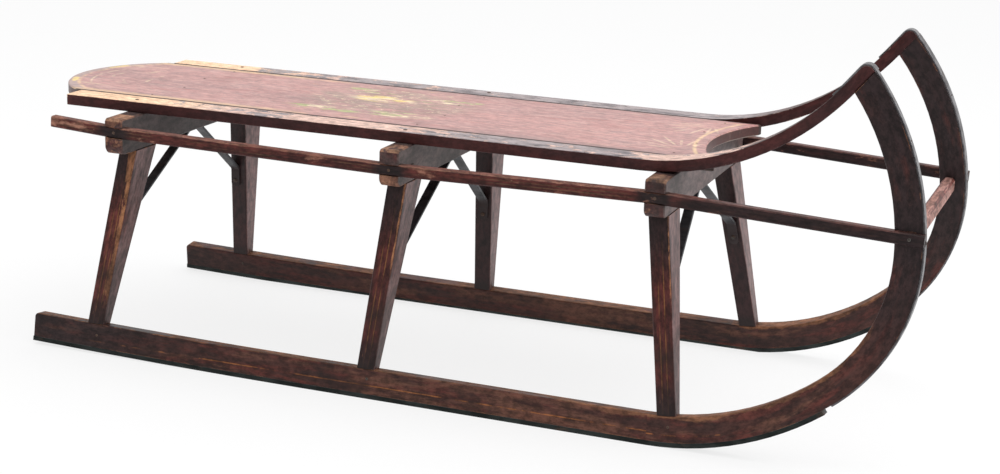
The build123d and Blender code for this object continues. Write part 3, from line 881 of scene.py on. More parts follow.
@dataclass(frozen=True)
class PostPaint(PaintedWood):
    """Maroon paint with two thin yellow lines down the outer face and bare front edges."""

    foot: Point = (0.0, 0.0)
    head: Point = (0.0, 0.0)
    worn_from: float = 8.0 * MM
    splay: float = 0.2
    line_half: float = 3.2 * MM
    line_colour: Colour = (0.34, 0.155, 0.045)
    # pale mauve of painted sheen on the front faces
    dusty: Colour = (0.165, 0.092, 0.088)
    # dark of the head and the foot, and of painted shade on the inner face
    stain: Colour = (0.022, 0.0135, 0.0145)

    def lay(self, graph: Graph) -> None:
        """Lets the grain run up the raked and splayed post.

        Args:
            graph: Node tree.
        """
        side = (abs(graph.y) + graph.z * self.splay) * graph.math("SIGN", graph.y)
        graph.place = graph.vector(self.across(graph), side, graph.z)

    def inside(self, graph: Graph) -> Term:
        """Mask of the inner face, which gets painted shade."""
        return graph.step(graph.outward, -0.5, -0.8) * 0.8

    def across(self, graph: Graph) -> Term:
        """Distance forward of the middle line of the raked post.

        Args:
            graph: Node tree.

        Returns:
            The distance.
        """
        rake = (self.head[0] - self.foot[0]) / (self.head[1] - self.foot[1])
        return graph.x - (self.foot[0] + (graph.z - self.foot[1]) * rake)

    def bare(self, graph: Graph) -> Term:
        """Edges and chips, and long scuffs by the front edge of the outer face.

        Args:
            graph: Node tree.

        Returns:
            Mask that is 1 on bare wood.
        """
        scuff = graph.noise((90.0, 60.0, 16.0), 19.0, 7.0, 0.68)
        across = self.across(graph) + (scuff - 0.5) * (20 * MM)
        fleck = graph.noise((160.0, 90.0, 60.0), 22.0, 5.0, 0.66)
        band = graph.step(across, self.worn_from, self.worn_from + 1.5 * MM)
        band = band * graph.step(fleck, 0.36, 0.46) * graph.step(graph.z, 0.055, 0.075)
        rubbed = band * graph.step(graph.outward, 0.5, 0.8)
        arris = graph.edge(1.6 * MM) * graph.step(self.across(graph), 4 * MM, 8 * MM)
        flecks = graph.noise((60.0, 60.0, 85.0), 29.0, 5.0, 0.66)
        chipped = graph.step(arris, 0.25, 0.5) * graph.step(flecks, 0.50, 0.56)
        return graph.greatest(rubbed, chipped, super().bare(graph))

    def marks(self, graph: Graph, colour: Term) -> Term:
        """Yellow lines, darkening at the head and the foot, painted shade on the inner face and painted sheen
        on the front faces.

        Args:
            graph: Node tree.
            colour: Plain paint.

        Returns:
            The marked paint.
        """
        breaks = graph.step(graph.noise((40.0, 20.0, 16.0), 27.0, 6.0, 0.66), 0.40, 0.56)
        lines = graph.band(abs(self.across(graph)), self.line_half, 1.0 * MM, 0.4 * MM)
        lines = lines * graph.step(graph.outward, 0.75, 0.9) * breaks
        colour = graph.mix(lines * 0.55, colour, self.line_colour)
        cloud = graph.noise((40.0, 40.0, 30.0), 46.0, 6.0, 0.66)
        # darker at the head and the foot; the inner face gets painted shade
        foot = graph.step(graph.z + cloud * 0.06, 0.126, 0.072)
        ends = graph.greatest(graph.step(graph.z, 0.175, 0.24), foot)
        ends = graph.greatest(ends * 0.82, self.inside(graph))
        colour = graph.mix(ends, colour, self.stain)
        # painted sheen: the faces that look forward are made paler, as where light falls on them
        pale_patches = graph.step(graph.noise((30.0, 60.0, 12.0), 37.0, 6.0, 0.66), 0.30, 0.52)
        return graph.mix(graph.step(graph.facing_x, 0.6, 0.85) * pale_patches, colour, self.dusty)


@dataclass(frozen=True)
class BeamPaint(PaintedWood):
    """Thin grey-mauve paint, the ends maroon and worn to the wood above and below the side rail."""

    half: float = 0.0
    notch: float = 0.0
    worn_above: float = 0.5
    worn_below: float = 0.5
    end_length: float = 34.0 * MM
    end_paint: Colour = (0.082, 0.024, 0.022)
    tan: Colour = (0.34, 0.185, 0.110)
    # dark of the patches, more of them towards the ends
    damp: Colour = (0.060, 0.045, 0.042)

    def ends(self, graph: Graph) -> Term:
        """Mask of the beam's ends, outside the top rails."""
        inner = self.half - self.end_length
        return graph.step(abs(graph.y), inner, inner + 6 * MM)

    def bare(self, graph: Graph) -> Term:
        """Rubbed edges, and patches on the ends, each side of the rail.

        Args:
            graph: Node tree.

        Returns:
            Mask that is 1 on bare wood.
        """
        patch = graph.noise((60.0, 60.0, 60.0), 4.4, 7.0, 0.66)
        above = graph.z > self.notch
        worn = self.worn_below + above * (self.worn_above - self.worn_below)
        lid = graph.step(graph.facing_z, 0.35, 0.6)
        zone = graph.band(graph.z, self.notch, 13 * MM, 3 * MM)
        level = patch + worn - 0.5 + lid * 0.2 - zone * 0.2
        side = 1.0 - graph.step(abs(graph.facing_x), 0.6, 0.9)
        rubbed = self.ends(graph) * graph.step(level, 0.50, 0.57) * side
        return graph.greatest(rubbed, super().bare(graph))

    def wood_colour(self, graph: Graph) -> Term:
        """Stained wood, paler on the worn lid of the ends.

        Args:
            graph: Node tree.

        Returns:
            The colour.
        """
        lid = graph.step(graph.facing_z, 0.35, 0.6) * self.ends(graph)
        cracks = graph.step(graph.noise((120.0, 40.0, 60.0), 16.0, 6.0, 0.7), 0.40, 0.56)
        return graph.mix(lid * cracks * 0.8, super().wood_colour(graph), self.tan)

    def marks(self, graph: Graph, colour: Term) -> Term:
        """Maroon paint left on the ends, and dark patches, more of them near the ends.

        Args:
            graph: Node tree.
            colour: Plain paint.

        Returns:
            The marked paint.
        """
        face = graph.step(abs(graph.facing_x), 0.8, 0.4)
        colour = graph.mix(face * self.ends(graph) * 0.95, colour, self.end_paint)
        # dark patches, more of them towards the ends of the beam
        damp = graph.noise((24.0, 14.0, 30.0), 14.0, 6.0, 0.66)
        by_end = damp + self.ends(graph) * 0.13
        return graph.mix(graph.step(by_end, 0.52, 0.68) * 0.65, colour, self.damp)


@dataclass(frozen=True)
class StickPaint(PaintedWood):
    """Dark maroon paint on a slender stick, rubbed along its upper edge, with painted shade where it is let
    in.
    """

    stations: tuple[Point, ...] = ()
    height: float = 13.5 * MM
    line_half: float = 1.9 * MM
    red: Colour = (0.118, 0.028, 0.022)
    # dust and painted highlight on the upper face
    dusty: Colour = (0.150, 0.060, 0.052)
    line_colour: Colour = (0.125, 0.066, 0.036)
    # dark of painted shade at the beams and the nose, and of dirt and painted shade ahead of the front beam
    stain: Colour = (0.017, 0.0105, 0.0115)

    def across(self, graph: Graph) -> Term:
        """Height over the middle line of the stick, which bends a little at each beam.

        Args:
            graph: Node tree.

        Returns:
            The height.
        """
        middle: Value = self.stations[0][1]
        for (x, z), (next_x, next_z) in zip(self.stations, self.stations[1:]):
            run = graph.least(graph.greatest(graph.x - x, 0.0), next_x - x)
            middle = middle + run * ((next_z - z) / (next_x - x))
        return graph.z - middle

    def bare(self, graph: Graph) -> Term:
        """Edges and chips, the upper edge most, and the rear end.

        Args:
            graph: Node tree.

        Returns:
            Mask that is 1 on bare wood.
        """
        rub = graph.noise((24.0, 60.0, 60.0), 17.0, 7.0, 0.68)
        level = self.across(graph) + (rub - 0.5) * (9 * MM)
        edge = graph.step(level, self.height / 2 - 1.5 * MM, self.height / 2 - 0.7 * MM)
        lid = 1.0 - graph.step(graph.facing_z, 0.8, 0.95) * 0.7
        ahead = graph.step(graph.x, self.stations[3][0] + 90 * MM, self.stations[3][0] - 30 * MM)
        edge = edge * lid * (0.1 + ahead * 0.75)
        end = graph.step(graph.x, self.stations[1][0] - 8 * MM, self.stations[0][0])
        end = graph.step(rub + end * 0.16, 0.58, 0.66)
        return graph.greatest(edge, end, super().bare(graph))

    def marks(self, graph: Graph, colour: Term) -> Term:
        """Redder stretches, a paler upper face of dust and painted highlight, two thin lines, painted shade
        at the beams and the nose, and dirt and painted shade ahead of the front beam.

        Args:
            graph: Node tree.
            colour: Plain paint.

        Returns:
            The marked paint.
        """
        across = self.across(graph)
        red = graph.noise((9.0, 40.0, 110.0), 43.0, 6.0, 0.66)
        level = red + graph.step(across, -4 * MM, 5 * MM) * 0.10
        colour = graph.mix(graph.step(level, 0.50, 0.64) * 0.8, colour, self.red)
        # dust and painted highlight: the upper faces are made paler in patches
        upper = graph.step(graph.facing_z, 0.5, 0.85)
        pale_patches = graph.noise((14.0, 60.0, 60.0), 23.0, 6.0, 0.66)
        colour = graph.mix(upper * graph.step(pale_patches, 0.30, 0.54), colour, self.dusty)
        lines = graph.band(abs(across), self.line_half, 1.1 * MM, 0.4 * MM)
        kept = graph.step(graph.noise((11.0, 20.0, 40.0), 49.0, 6.0, 0.66), 0.42, 0.58)
        flank = graph.step(abs(graph.facing_y), 0.7, 0.9)
        colour = graph.mix(lines * flank * kept * 0.75, colour, self.line_colour)
        # painted shade where the stick is let into the beams and the nose; ahead of the front beam dirt and
        # painted shade, the sides darker than the top
        grime = [graph.band(graph.x, x, 40 * MM, 9 * MM) for x, _ in self.stations[1:-1]]
        patchy = graph.step(graph.noise((16.0, 40.0, 60.0), 53.0, 6.0, 0.66), 0.34, 0.60)
        ahead = graph.step(graph.x, self.stations[3][0] - 10 * MM, self.stations[3][0] + 60 * MM)
        nose = graph.step(graph.x, self.stations[-1][0] - 44 * MM, self.stations[-1][0] - 12 * MM)
        patchy = (0.75 + patchy * 0.25) * (1.0 - upper * 0.75)
        grime = graph.greatest(*grime, nose, ahead * patchy)
        return graph.mix(grime * 0.92, colour, self.stain)


@dataclass(frozen=True)
class BarPaint(PaintedWood):
    """Pale worn wood, with red-brown paint left along the bevels."""

    def bare(self, graph: Graph) -> Term:
        """Everything but the bevels and a few long streaks.

        Args:
            graph: Node tree.

        Returns:
            Mask that is 1 on bare wood.
        """
        streak = graph.noise((90.0, 9.0, 90.0), 28.0, 6.0, 0.66)
        flat = graph.greatest(abs(graph.facing_x), abs(graph.facing_z))
        level = streak + graph.step(flat, 0.75, 0.9) * 0.16
        return graph.step(level, 0.50, 0.58)


@dataclass(frozen=True)
class Iron:
    """Old forged iron: two tones, streaks, rust and rubbed edges."""

    name: str
    colour: Colour
    colour_dark: Colour
    rust: Colour = (0.10, 0.045, 0.022)
    rust_share: float = 0.25
    shine: Colour = (0.30, 0.30, 0.29)
    metallic: float = 0.85
    gloss: float = 0.42
    edge_radius: float = 1.2 * MM
    streak: Waves = (30.0, 80.0, 80.0)
    feet: float = 10.0
    painted: Colour = (0.034, 0.019, 0.018)

    def build(self) -> bpy.types.Material:
        """Makes the material.

        Returns:
            A new metal material with streaks, rust, rubbed edges and hammer marks.
        """
        graph = Graph(self.name)
        streak = graph.noise(self.streak, 2.0, 5.0)
        colour = graph.mix(graph.step(streak, 0.36, 0.64), self.colour, self.colour_dark)
        rub = graph.noise((40.0, 40.0, 40.0), 6.0, 4.0)
        rubbed = graph.edge(self.edge_radius) * graph.step(rub, 0.40, 0.60)
        colour = graph.mix(rubbed * 0.8, colour, self.shine)
        spots = graph.noise((24.0, 30.0, 30.0), 11.0, 6.0)
        rusty = graph.step(spots, 0.72 - self.rust_share, 0.86 - self.rust_share)
        colour = graph.mix(rusty * 0.7, colour, self.rust)
        feet = graph.step(abs(graph.y), self.feet, self.feet + 14 * MM)
        colour = graph.mix(feet * 0.85, colour, self.painted)
        rusty = graph.greatest(rusty, feet)
        graph.feed("Metallic", self.metallic - rusty * self.metallic)
        roughness = self.gloss - 0.12 + streak * 0.25 + rusty * 0.3
        dents = graph.noise((130.0, 130.0, 130.0), 13.0, 3.0)
        graph.bump(dents + rusty * 0.4, 0.2 * MM, 0.5)
        return graph.finish(colour, roughness)


@dataclass
class Fastener:
    """One fastener: where its head sits, which way it looks and how large it is."""

    place: Vector
    axis: Vector
    radius: float
    turn: float = 0.0


class HeadTree:
    """Geometry Nodes tree that sets one shape of head on every marked point."""

    AXIS = "axis"
    SIZE = "size"
    TURN = "turn"
    # shapes of the heads, as shares of their radius
    RINGS = 8
    NAIL_SEGMENTS = 14
    SCREW_SEGMENTS = 18
    SLOT_LENGTH = 2.4
    SLOT_DEPTH = 0.36
    WEDGE_TOP = 0.85
    WEDGE_THICKNESS = 0.42

    def __init__(self, head: Head, material: bpy.types.Material) -> None:
        """Builds the tree.

        Args:
            head: Shape of the head.
            material: Finish of the heads.
        """
        self.head = head
        self.group = bpy.data.node_groups.new(f"tree_{head.value}", "GeometryNodeTree")
        face = self.group.interface
        face.new_socket("Geometry", in_out="INPUT", socket_type="NodeSocketGeometry")
        self.rise = face.new_socket("Rise", in_out="INPUT", socket_type="NodeSocketFloat").identifier
        self.slot = face.new_socket("Slot Width", in_out="INPUT", socket_type="NodeSocketFloat").identifier
        face.new_socket("Geometry", in_out="OUTPUT", socket_type="NodeSocketGeometry")
        self.source = add_node(self.group, "NodeGroupInput").outputs
        shape = self.shape()
        points = self.add("GeometryNodeMeshToPoints", {"Mesh": self.source["Geometry"]})
        look = {"Vector": self.attribute(self.AXIS, "FLOAT_VECTOR")}
        align = self.add("FunctionNodeAlignRotationToVector", look, axis="Z")
        spin = self.add("FunctionNodeAxisAngleToRotation", {"Angle": self.attribute(self.TURN, "FLOAT")})
        turned = self.add("FunctionNodeRotateRotation", {0: align, 1: spin}, rotation_space="LOCAL")
        size = self.attribute(self.SIZE, "FLOAT")
        heads = {"Points": points, "Instance": shape, "Rotation": turned, "Scale": size}
        instances = self.add("GeometryNodeInstanceOnPoints", heads)
        realized = self.add("GeometryNodeRealizeInstances", {0: instances})
        finished = self.add("GeometryNodeSetMaterial", {"Geometry": realized, "Material": material})
        add_node(self.group, "NodeGroupOutput", {"Geometry": finished})

    def add(self, kind: str, inputs: dict[Key, object], **settings: object) -> Socket:
        """Adds a node to the tree and gives its first output."""
        return wire(self.group, kind, inputs, **settings)

    def attribute(self, name: str, kind: str) -> Socket:
        """Named attribute of the points, of one kind of data."""
        node = add_node(self.group, "GeometryNodeInputNamedAttribute", {"Name": name}, data_type=kind)
        return node.outputs["Attribute"]

    def dome(self, segments: int) -> Socket:
        """Unit ball flattened to the head's rise, half of it under the surface.

        Args:
            segments: Faces around the ball.

        Returns:
            Geometry of the flattened ball.
        """
        sizes = {"Segments": segments, "Rings": self.RINGS, "Radius": 1.0}
        ball = self.add("GeometryNodeMeshUVSphere", sizes)
        scale = self.add("ShaderNodeCombineXYZ", {"X": 1.0, "Y": 1.0, "Z": self.source["Rise"]})
        return self.add("GeometryNodeTransform", {"Geometry": ball, "Scale": scale})

    def wedge(self) -> Socket:
        """Narrow, tapered head of a cut nail.

        Returns:
            Geometry of the head.
        """
        radii = {"Radius Top": self.WEDGE_TOP, "Radius Bottom": 1.0}
        block = self.add("GeometryNodeMeshCone", {"Vertices": 4, **radii, "Depth": self.source["Rise"]})
        quarter = (0.0, 0.0, math.radians(45.0))
        square = self.add("GeometryNodeTransform", {"Geometry": block, "Rotation": quarter})
        narrow = (self.WEDGE_THICKNESS, 1.0, 1.0)
        return self.add("GeometryNodeTransform", {"Geometry": square, "Scale": narrow})

    def slotted(self) -> Socket:
        """Dome with a slot across it.

        Returns:
            Geometry of the head.
        """
        sizes = {"X": self.SLOT_LENGTH, "Y": self.source["Slot Width"], "Z": self.SLOT_DEPTH}
        cutter = self.add("GeometryNodeMeshCube", {"Size": self.add("ShaderNodeCombineXYZ", sizes)})
        lift = self.add("ShaderNodeCombineXYZ", {"Z": self.source["Rise"]})
        raised = self.add("GeometryNodeTransform", {"Geometry": cutter, "Translation": lift})
        domed = self.dome(self.SCREW_SEGMENTS)
        return self.add("GeometryNodeMeshBoolean", {0: domed, 1: raised}, operation="DIFFERENCE")

    def shape(self) -> Socket:
        """Geometry of one head, a unit wide, before it is set on the points.

        Returns:
            Geometry of the head.
        """
        if self.head is Head.CUT_NAIL:
            return self.wedge()
        if self.head is Head.NAIL:
            return self.add("GeometryNodeSetShadeSmooth", {"Geometry": self.dome(self.NAIL_SEGMENTS)})
        return self.slotted()

    def grow(self, fasteners: list[Fastener], rise: float, slot: float) -> bpy.types.Object:
        """Sets a head on each fastener's place.

        Args:
            fasteners: Places, axes and sizes of the heads.
            rise: Height of a head as a share of its radius.
            slot: Width of a screw's slot as a share of its radius.

        Returns:
            One plain mesh object with all the heads.
        """
        points = bpy.data.meshes.new(self.head.value)
        points.from_pydata([item.place for item in fasteners], [], [])
        axes = [part for item in fasteners for part in item.axis.normalized()]
        marks = {
            self.AXIS: ("FLOAT_VECTOR", "vector", axes),
            self.SIZE: ("FLOAT", "value", [item.radius for item in fasteners]),
            self.TURN: ("FLOAT", "value", [item.turn for item in fasteners]),
        }
        for name, (kind, key, values) in marks.items():
            points.attributes.new(name, kind, "POINT").data.foreach_set(key, values)
        seed = link_object(f"{self.head.value}_points", points)
        modifier = seed.modifiers.new("heads", "NODES")
        modifier.node_group = self.group
        modifier[self.rise] = rise
        modifier[self.slot] = slot
        evaluated = seed.evaluated_get(bpy.context.evaluated_depsgraph_get())
        mesh = bpy.data.meshes.new_from_object(evaluated)
        bpy.data.objects.remove(seed)
        mesh.name = self.head.value
        return link_object(self.head.value, mesh)


def deck_top() -> float:
    """Height of the deck's top face."""
    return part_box("deck_board")[1].z


def beam_x(row: Row) -> float:
    """Middle of a row's cross beam along the sled."""
    low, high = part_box(f"cross_beam_{row.value}")
    return (low.x + high.x) / 2


def pair(name: str) -> list[str]:
    """Names of the right and left solids of a kind."""
    return [f"{name}_{side.word}" for side in Side]


def dress(nodes: Iterable[str], finish: Union[PaintedWood, Iron]) -> None:
    """Gives solids of the frame their finish.

    Args:
        nodes: Names of the solids.
        finish: Paint or iron that they share.
    """
    material = finish.build()
    for node in nodes:
        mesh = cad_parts[node].data
        mesh.materials.clear()
        mesh.materials.append(material)
        LOG.info("dressed %s in %s", node, material.name)


@dataclass
class Deck:
    """Deck board with its painted top."""

    nail_radius: float = 1.7 * MM
    nail_depth: float = 0.2 * MM
    nail_ys: tuple[float, ...] = (-98 * MM, -34 * MM, 34 * MM, 98 * MM)
    # by turns behind and ahead of a beam's middle
    nail_shifts: tuple[float, float] = (-4 * MM, 5 * MM)

    def dress(self) -> None:
        """Paints the board."""
        low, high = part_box("deck_board")
        dress(["deck_board"], DeckPaint(
            "deck_paint", (0.50, 0.245, 0.225), (0.41, 0.205, 0.193), (0.60, 0.37, 0.23), (0.44, 0.24, 0.15),
            grain=(4.0, 110.0, 90.0), edge_wear=0.55, chips=0.71, gloss=0.44, specular=0.5, grime=0.22,
            specks=0.19, dirt=(0.12, 0.085, 0.080), tail=low.x, front=high.x, half=high.y))

    def nails(self) -> list[Fastener]:
        """Nails through the board into each beam.

        Returns:
            Four small heads over each beam.
        """
        found = []
        for row in Row:
            for index, y in enumerate(self.nail_ys):
                x = beam_x(row) + self.nail_shifts[index % 2]
                found.append(Fastener(Vector((x, y, deck_top() - self.nail_depth)), UP, self.nail_radius))
        return found


@dataclass
class TopRails:
    """Rails beside the deck, bent up to the noses."""

    nail_radius: float = 2.6 * MM
    nail_in: float = 12.0 * MM
    nail_back: float = 3.0 * MM

    def dress(self) -> None:
        """Paints both rails."""
        low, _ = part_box("top_rail_left")
        dress(pair("top_rail"), RailPaint(
            "top_rail_paint", (0.070, 0.019, 0.018), (0.050, 0.018, 0.018), (0.96, 0.67, 0.445),
            (0.82, 0.53, 0.355), grain=(5.0, 120.0, 60.0), edge_wear=0.34, chips=0.71, gloss=0.44,
            specular=0.2, grime=0.18, specks=0.34, dirt=(0.030, 0.017, 0.017), tail=low.x, inner=low.y,
            top=deck_top()))

    def nails(self) -> list[Fastener]:
        """Nails down through the rails into each beam.

        Returns:
            One head for each rail on each beam.
        """
        found = []
        for row in Row:
            for side in Side:
                low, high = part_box(f"top_rail_{side.word}")
                outer = high.y if side is Side.LEFT else low.y
                place = Vector((beam_x(row) - self.nail_back, outer - side.value * self.nail_in, deck_top()))
                found.append(Fastener(place, UP, self.nail_radius))
        return found


@dataclass
class Runners:
    """Bent runners with their iron shoes and nose straps."""

    lean: float = math.radians(7.0)
    width: float = 18.0 * MM
    nail_radius: float = 1.7 * MM
    nail_up: float = 24.0 * MM
    nail_ahead: float = 3.0 * MM
    nose_front: float = 565.0 * MM
    nose_radius: float = 314.0 * MM
    nose_height: float = 241.3 * MM
    strap: float = 2.0 * MM
    # places of the strap's screws round the nose, in degrees from straight ahead
    strap_turns: tuple[float, ...] = (4.0, 24.0)
    strap_screw_radius: float = 3.2 * MM
    slot_turn: float = 0.2

    def dress(self) -> None:
        """Paints the runners and finishes their iron."""
        low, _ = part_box("runner_right")
        dress(pair("runner"), RunnerPaint(
            "runner_paint", (0.078, 0.029, 0.023), (0.044, 0.020, 0.017), (0.26, 0.115, 0.060),
            (0.14, 0.062, 0.036), grain=(6.0, 90.0, 70.0), edge_wear=0.46, chips=0.71, gloss=0.44,
            dirt=(0.022, 0.0135, 0.013), tail=low.x))
        dress(pair("runner_shoe"), Iron(
            "shoe_iron", (0.036, 0.042, 0.040), (0.016, 0.019, 0.018), rust_share=0.14, gloss=0.44,
            shine=(0.12, 0.13, 0.13)))
        dress(pair("nose_strap"), Iron(
            "strap_iron", (0.24, 0.235, 0.245), (0.10, 0.095, 0.10), rust=(0.07, 0.050, 0.042),
            rust_share=0.20, shine=(0.42, 0.41, 0.42), metallic=0.9, gloss=0.42))

    def outer(self, side: Side, x: float, up: float) -> Vector:
        """Point of a runner's outer face at a distance up the lean."""
        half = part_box("runner_shoe_left")[1].y
        return Vector((x, side.value * (half - up * math.sin(self.lean)), up * math.cos(self.lean)))

    def outward(self, side: Side) -> Vector:
        """Direction out of a runner's outer face."""
        return Vector((0, side.value * math.cos(self.lean), math.sin(self.lean)))

    def nails(self, foot_xs: Iterable[float]) -> list[Fastener]:
        """Nails through the runners' faces into the feet of the posts.

        Args:
            foot_xs: Places of the feet along the sled.

        Returns:
            Two small heads for each foot, one on each face.
        """
        found = []
        for x in foot_xs:
            for side in Side:
                face = self.outer(side, x + self.nail_ahead, self.nail_up)
                out = self.outward(side)
                found.append(Fastener(face, out, self.nail_radius))
                found.append(Fastener(face - out * self.width, -out, self.nail_radius))
        return found

    def strap_screws(self) -> list[Fastener]:
        """Flat screws through the straps into the noses.

        Returns:
            One head for each turn of each strap.
        """
        reach = self.nose_radius + self.strap
        found = []
        for side in Side:
            middle = self.outward(side) * (self.width / 2)
            up = Vector((0, -side.value * math.sin(self.lean), math.cos(self.lean)))
            for turn in self.strap_turns:
                angle = math.radians(turn)
                x = self.nose_front - self.nose_radius + reach * math.cos(angle)
                face = self.outer(side, x, self.nose_height + reach * math.sin(angle))
                axis = Vector((1, 0, 0)) * math.cos(angle) + up * math.sin(angle)
                found.append(Fastener(face - middle, axis, self.strap_screw_radius, turn * self.slot_turn))
        return found


@dataclass
class Trestles:
    """Three rows of posts, beams and iron braces."""

    post_foot_width: float = 22.5 * MM
    runner_top: float = 35.0 * MM
    brace_width: float = 12.0 * MM
    brace_thickness: float = 3.0 * MM
    brace_slope: float = 0.2893
    foot_screw_up: float = 9.0 * MM
    foot_slot_turn: float = 0.6
    beam_slot_turn: float = 1.1
    screw_radius: float = 3.0 * MM
    wedge_in: float = 42.0 * MM
    wedge_up: float = 20.0 * MM
    wedge_radius: float = 4.2 * MM
    wedge_turn: float = 8.0
    beam_shade: float = 0.66
    worn_from: dict[Row, float] = field(
        default_factory=lambda: {Row.REAR: 4.0 * MM, Row.MIDDLE: 10.0 * MM, Row.FRONT: 11.0 * MM})
    post_tones: dict[Row, Colour] = field(default_factory=lambda: {
        Row.REAR: (0.125, 0.031, 0.025), Row.MIDDLE: (0.086, 0.020, 0.017), Row.FRONT: (0.090, 0.020, 0.017)})
    # the same beam paint, darker for the rear row and lighter for the front: painted light falling from the
    # front
    beam_tones: dict[Row, Colour] = field(default_factory=lambda: {
        Row.REAR: (0.074, 0.051, 0.049), Row.MIDDLE: (0.112, 0.074, 0.068), Row.FRONT: (0.126, 0.082, 0.078)})
    # wear of a beam's ends above and below the side rail
    block_wear: dict[Row, tuple[float, float]] = field(default_factory=lambda: {
        Row.REAR: (0.60, 0.50), Row.MIDDLE: (0.38, 0.62), Row.FRONT: (0.38, 0.40)})

    def axis(self, row: Row) -> tuple[Point, Point]:
        """Foot and head of a row's middle line.

        Args:
            row: Row of posts.

        Returns:
            Foot and head, each as X and Z.
        """
        low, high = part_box(f"post_{row.value}_right")
        half = self.post_foot_width / 2
        foot_x = high.x - half if row is Row.FRONT else low.x + half
        return (foot_x, self.runner_top), (beam_x(row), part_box(f"cross_beam_{row.value}")[0].z)

    def feet(self) -> list[float]:
        """Places of the feet along the sled."""
        return [self.axis(row)[0][0] for row in Row]

    def dress(self) -> None:
        """Paints posts and beams and finishes the braces."""
        dress([f"brace_{row.value}" for row in Row], Iron(
            "brace_iron", (0.060, 0.060, 0.067), (0.026, 0.026, 0.029), rust_share=0.12,
            shine=(0.10, 0.10, 0.11), metallic=0.6, gloss=0.48, feet=124 * MM))
        for row in Row:
            foot, head = self.axis(row)
            dress(pair(f"post_{row.value}"), PostPaint(
                f"post_paint_{row.value}", self.post_tones[row], (0.050, 0.018, 0.016), (0.34, 0.150, 0.070),
                (0.19, 0.080, 0.042), grain=(90.0, 70.0, 6.0), edge_radius=3.5 * MM, edge_wear=0.55,
                chips=0.69, gloss=0.42, foot=foot, head=head, worn_from=self.worn_from[row]))
            # each row's tone holds painted light, brighter towards the front
            lit_tone = self.beam_tones[row]
            above, below = self.block_wear[row]
            dress([f"cross_beam_{row.value}"], BeamPaint(
                f"beam_paint_{row.value}", lit_tone, tuple(self.beam_shade * value for value in lit_tone),
                (0.31, 0.150, 0.092), (0.15, 0.066, 0.044), grain=(60.0, 5.0, 80.0), edge_radius=3 * MM,
                edge_wear=0.45, chips=0.70, gloss=0.46, half=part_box(f"cross_beam_{row.value}")[1].y,
                notch=deck_top() - SideRails.drops[row], worn_above=above, worn_below=below))

    def screws(self) -> list[Fastener]:
        """Round screws at the braces' feet and under the beams.

        Returns:
            Three heads for each brace.
        """
        slant = math.hypot(1.0, self.brace_slope)
        half, up = self.brace_width / 2, self.foot_screw_up
        found = []
        for index, row in enumerate(Row):
            low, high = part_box(f"brace_{row.value}")
            foot, head = self.axis(row)
            rake = (head[0] - foot[0]) / (head[1] - foot[1])
            x = high.x - half if rake > 0 else low.x + half
            foot_x = x + rake * (low.z + up - high.z)
            out = high.y - up * self.brace_slope - self.brace_thickness * slant
            for side in Side:
                place = Vector((foot_x, side.value * out, low.z + up))
                axis = Vector((0, -side.value, -self.brace_slope))
                found.append(Fastener(place, axis, self.screw_radius, self.foot_slot_turn + index))
            under = Vector((x, 0.0, high.z - self.brace_thickness))
            found.append(Fastener(under, -UP, self.screw_radius, self.beam_slot_turn + index))
        return found

    def wedges(self) -> list[Fastener]:
        """Cut nails in the front faces of the beams, near the posts.

        Returns:
            Two heads for each beam.
        """
        found = []
        for row in Row:
            low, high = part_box(f"cross_beam_{row.value}")
            for side in Side:
                place = Vector((high.x, side.value * (high.y - self.wedge_in), low.z + self.wedge_up))
                turn = math.radians(self.wedge_turn * side.value)
                found.append(Fastener(place, Vector((1, 0, 0)), self.wedge_radius, turn))
        return found


@dataclass
class SideRails:
    """Slender sticks along the sides and the bar between the noses."""

    nail_radius: float = 2.0 * MM
    nose_nail_back: float = 16.0 * MM
    nose_nail_up: float = 1.0 * MM
    height: float = 13.5 * MM
    width: float = 12.0 * MM
    # top of the deck to the middle of a stick at each beam
    drops: ClassVar[dict[Row, float]] = {Row.REAR: 30.5 * MM, Row.MIDDLE: 37.5 * MM, Row.FRONT: 34.5 * MM}

    def stations(self) -> tuple[Point, ...]:
        """Places where a stick ends or is let in, along its middle line.

        Returns:
            X and Z of the rear end, the three beams and the nose.
        """
        low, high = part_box("side_rail_right")
        beams = [(beam_x(row), deck_top() - self.drops[row]) for row in Row]
        return ((low.x, high.z - self.height / 2), *beams, (high.x, low.z + self.height / 2))

    def dress(self) -> None:
        """Paints the sticks and the bar."""
        dress(pair("side_rail"), StickPaint(
            "side_rail_paint", (0.074, 0.017, 0.014), (0.047, 0.013, 0.0115), (0.34, 0.165, 0.115),
            (0.20, 0.085, 0.058), grain=(5.0, 120.0, 120.0), edge_radius=1.6 * MM, edge_wear=0.30, chips=0.73,
            gloss=0.44, specular=0.2, stations=self.stations(), height=self.height))
        dress(["front_bar"], BarPaint(
            "bar_wood", (0.16, 0.050, 0.040), (0.10, 0.034, 0.028), (0.37, 0.205, 0.178),
            (0.25, 0.125, 0.102), grain=(120.0, 7.0, 120.0), edge_radius=2 * MM, edge_wear=0.4, chips=0.66,
            gloss=0.48, grime=0.3))

    def nails(self) -> list[Fastener]:
        """Nails through the sticks into the beams and the noses.

        Returns:
            One small head at each lap of each stick.
        """
        (rear_x, _), *beams, (nose_x, nose_z) = self.stations()
        low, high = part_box("side_rail_left")
        found = []
        for x, z in (*beams, (nose_x - self.nose_nail_back, nose_z + self.nose_nail_up)):
            share = (x - rear_x) / (nose_x - rear_x)
            out = high.y - share * (high.y - low.y - self.width)
            for side in Side:
                place = Vector((x, side.value * out, z))
                found.append(Fastener(place, Vector((0, side.value, 0)), self.nail_radius))
        return found


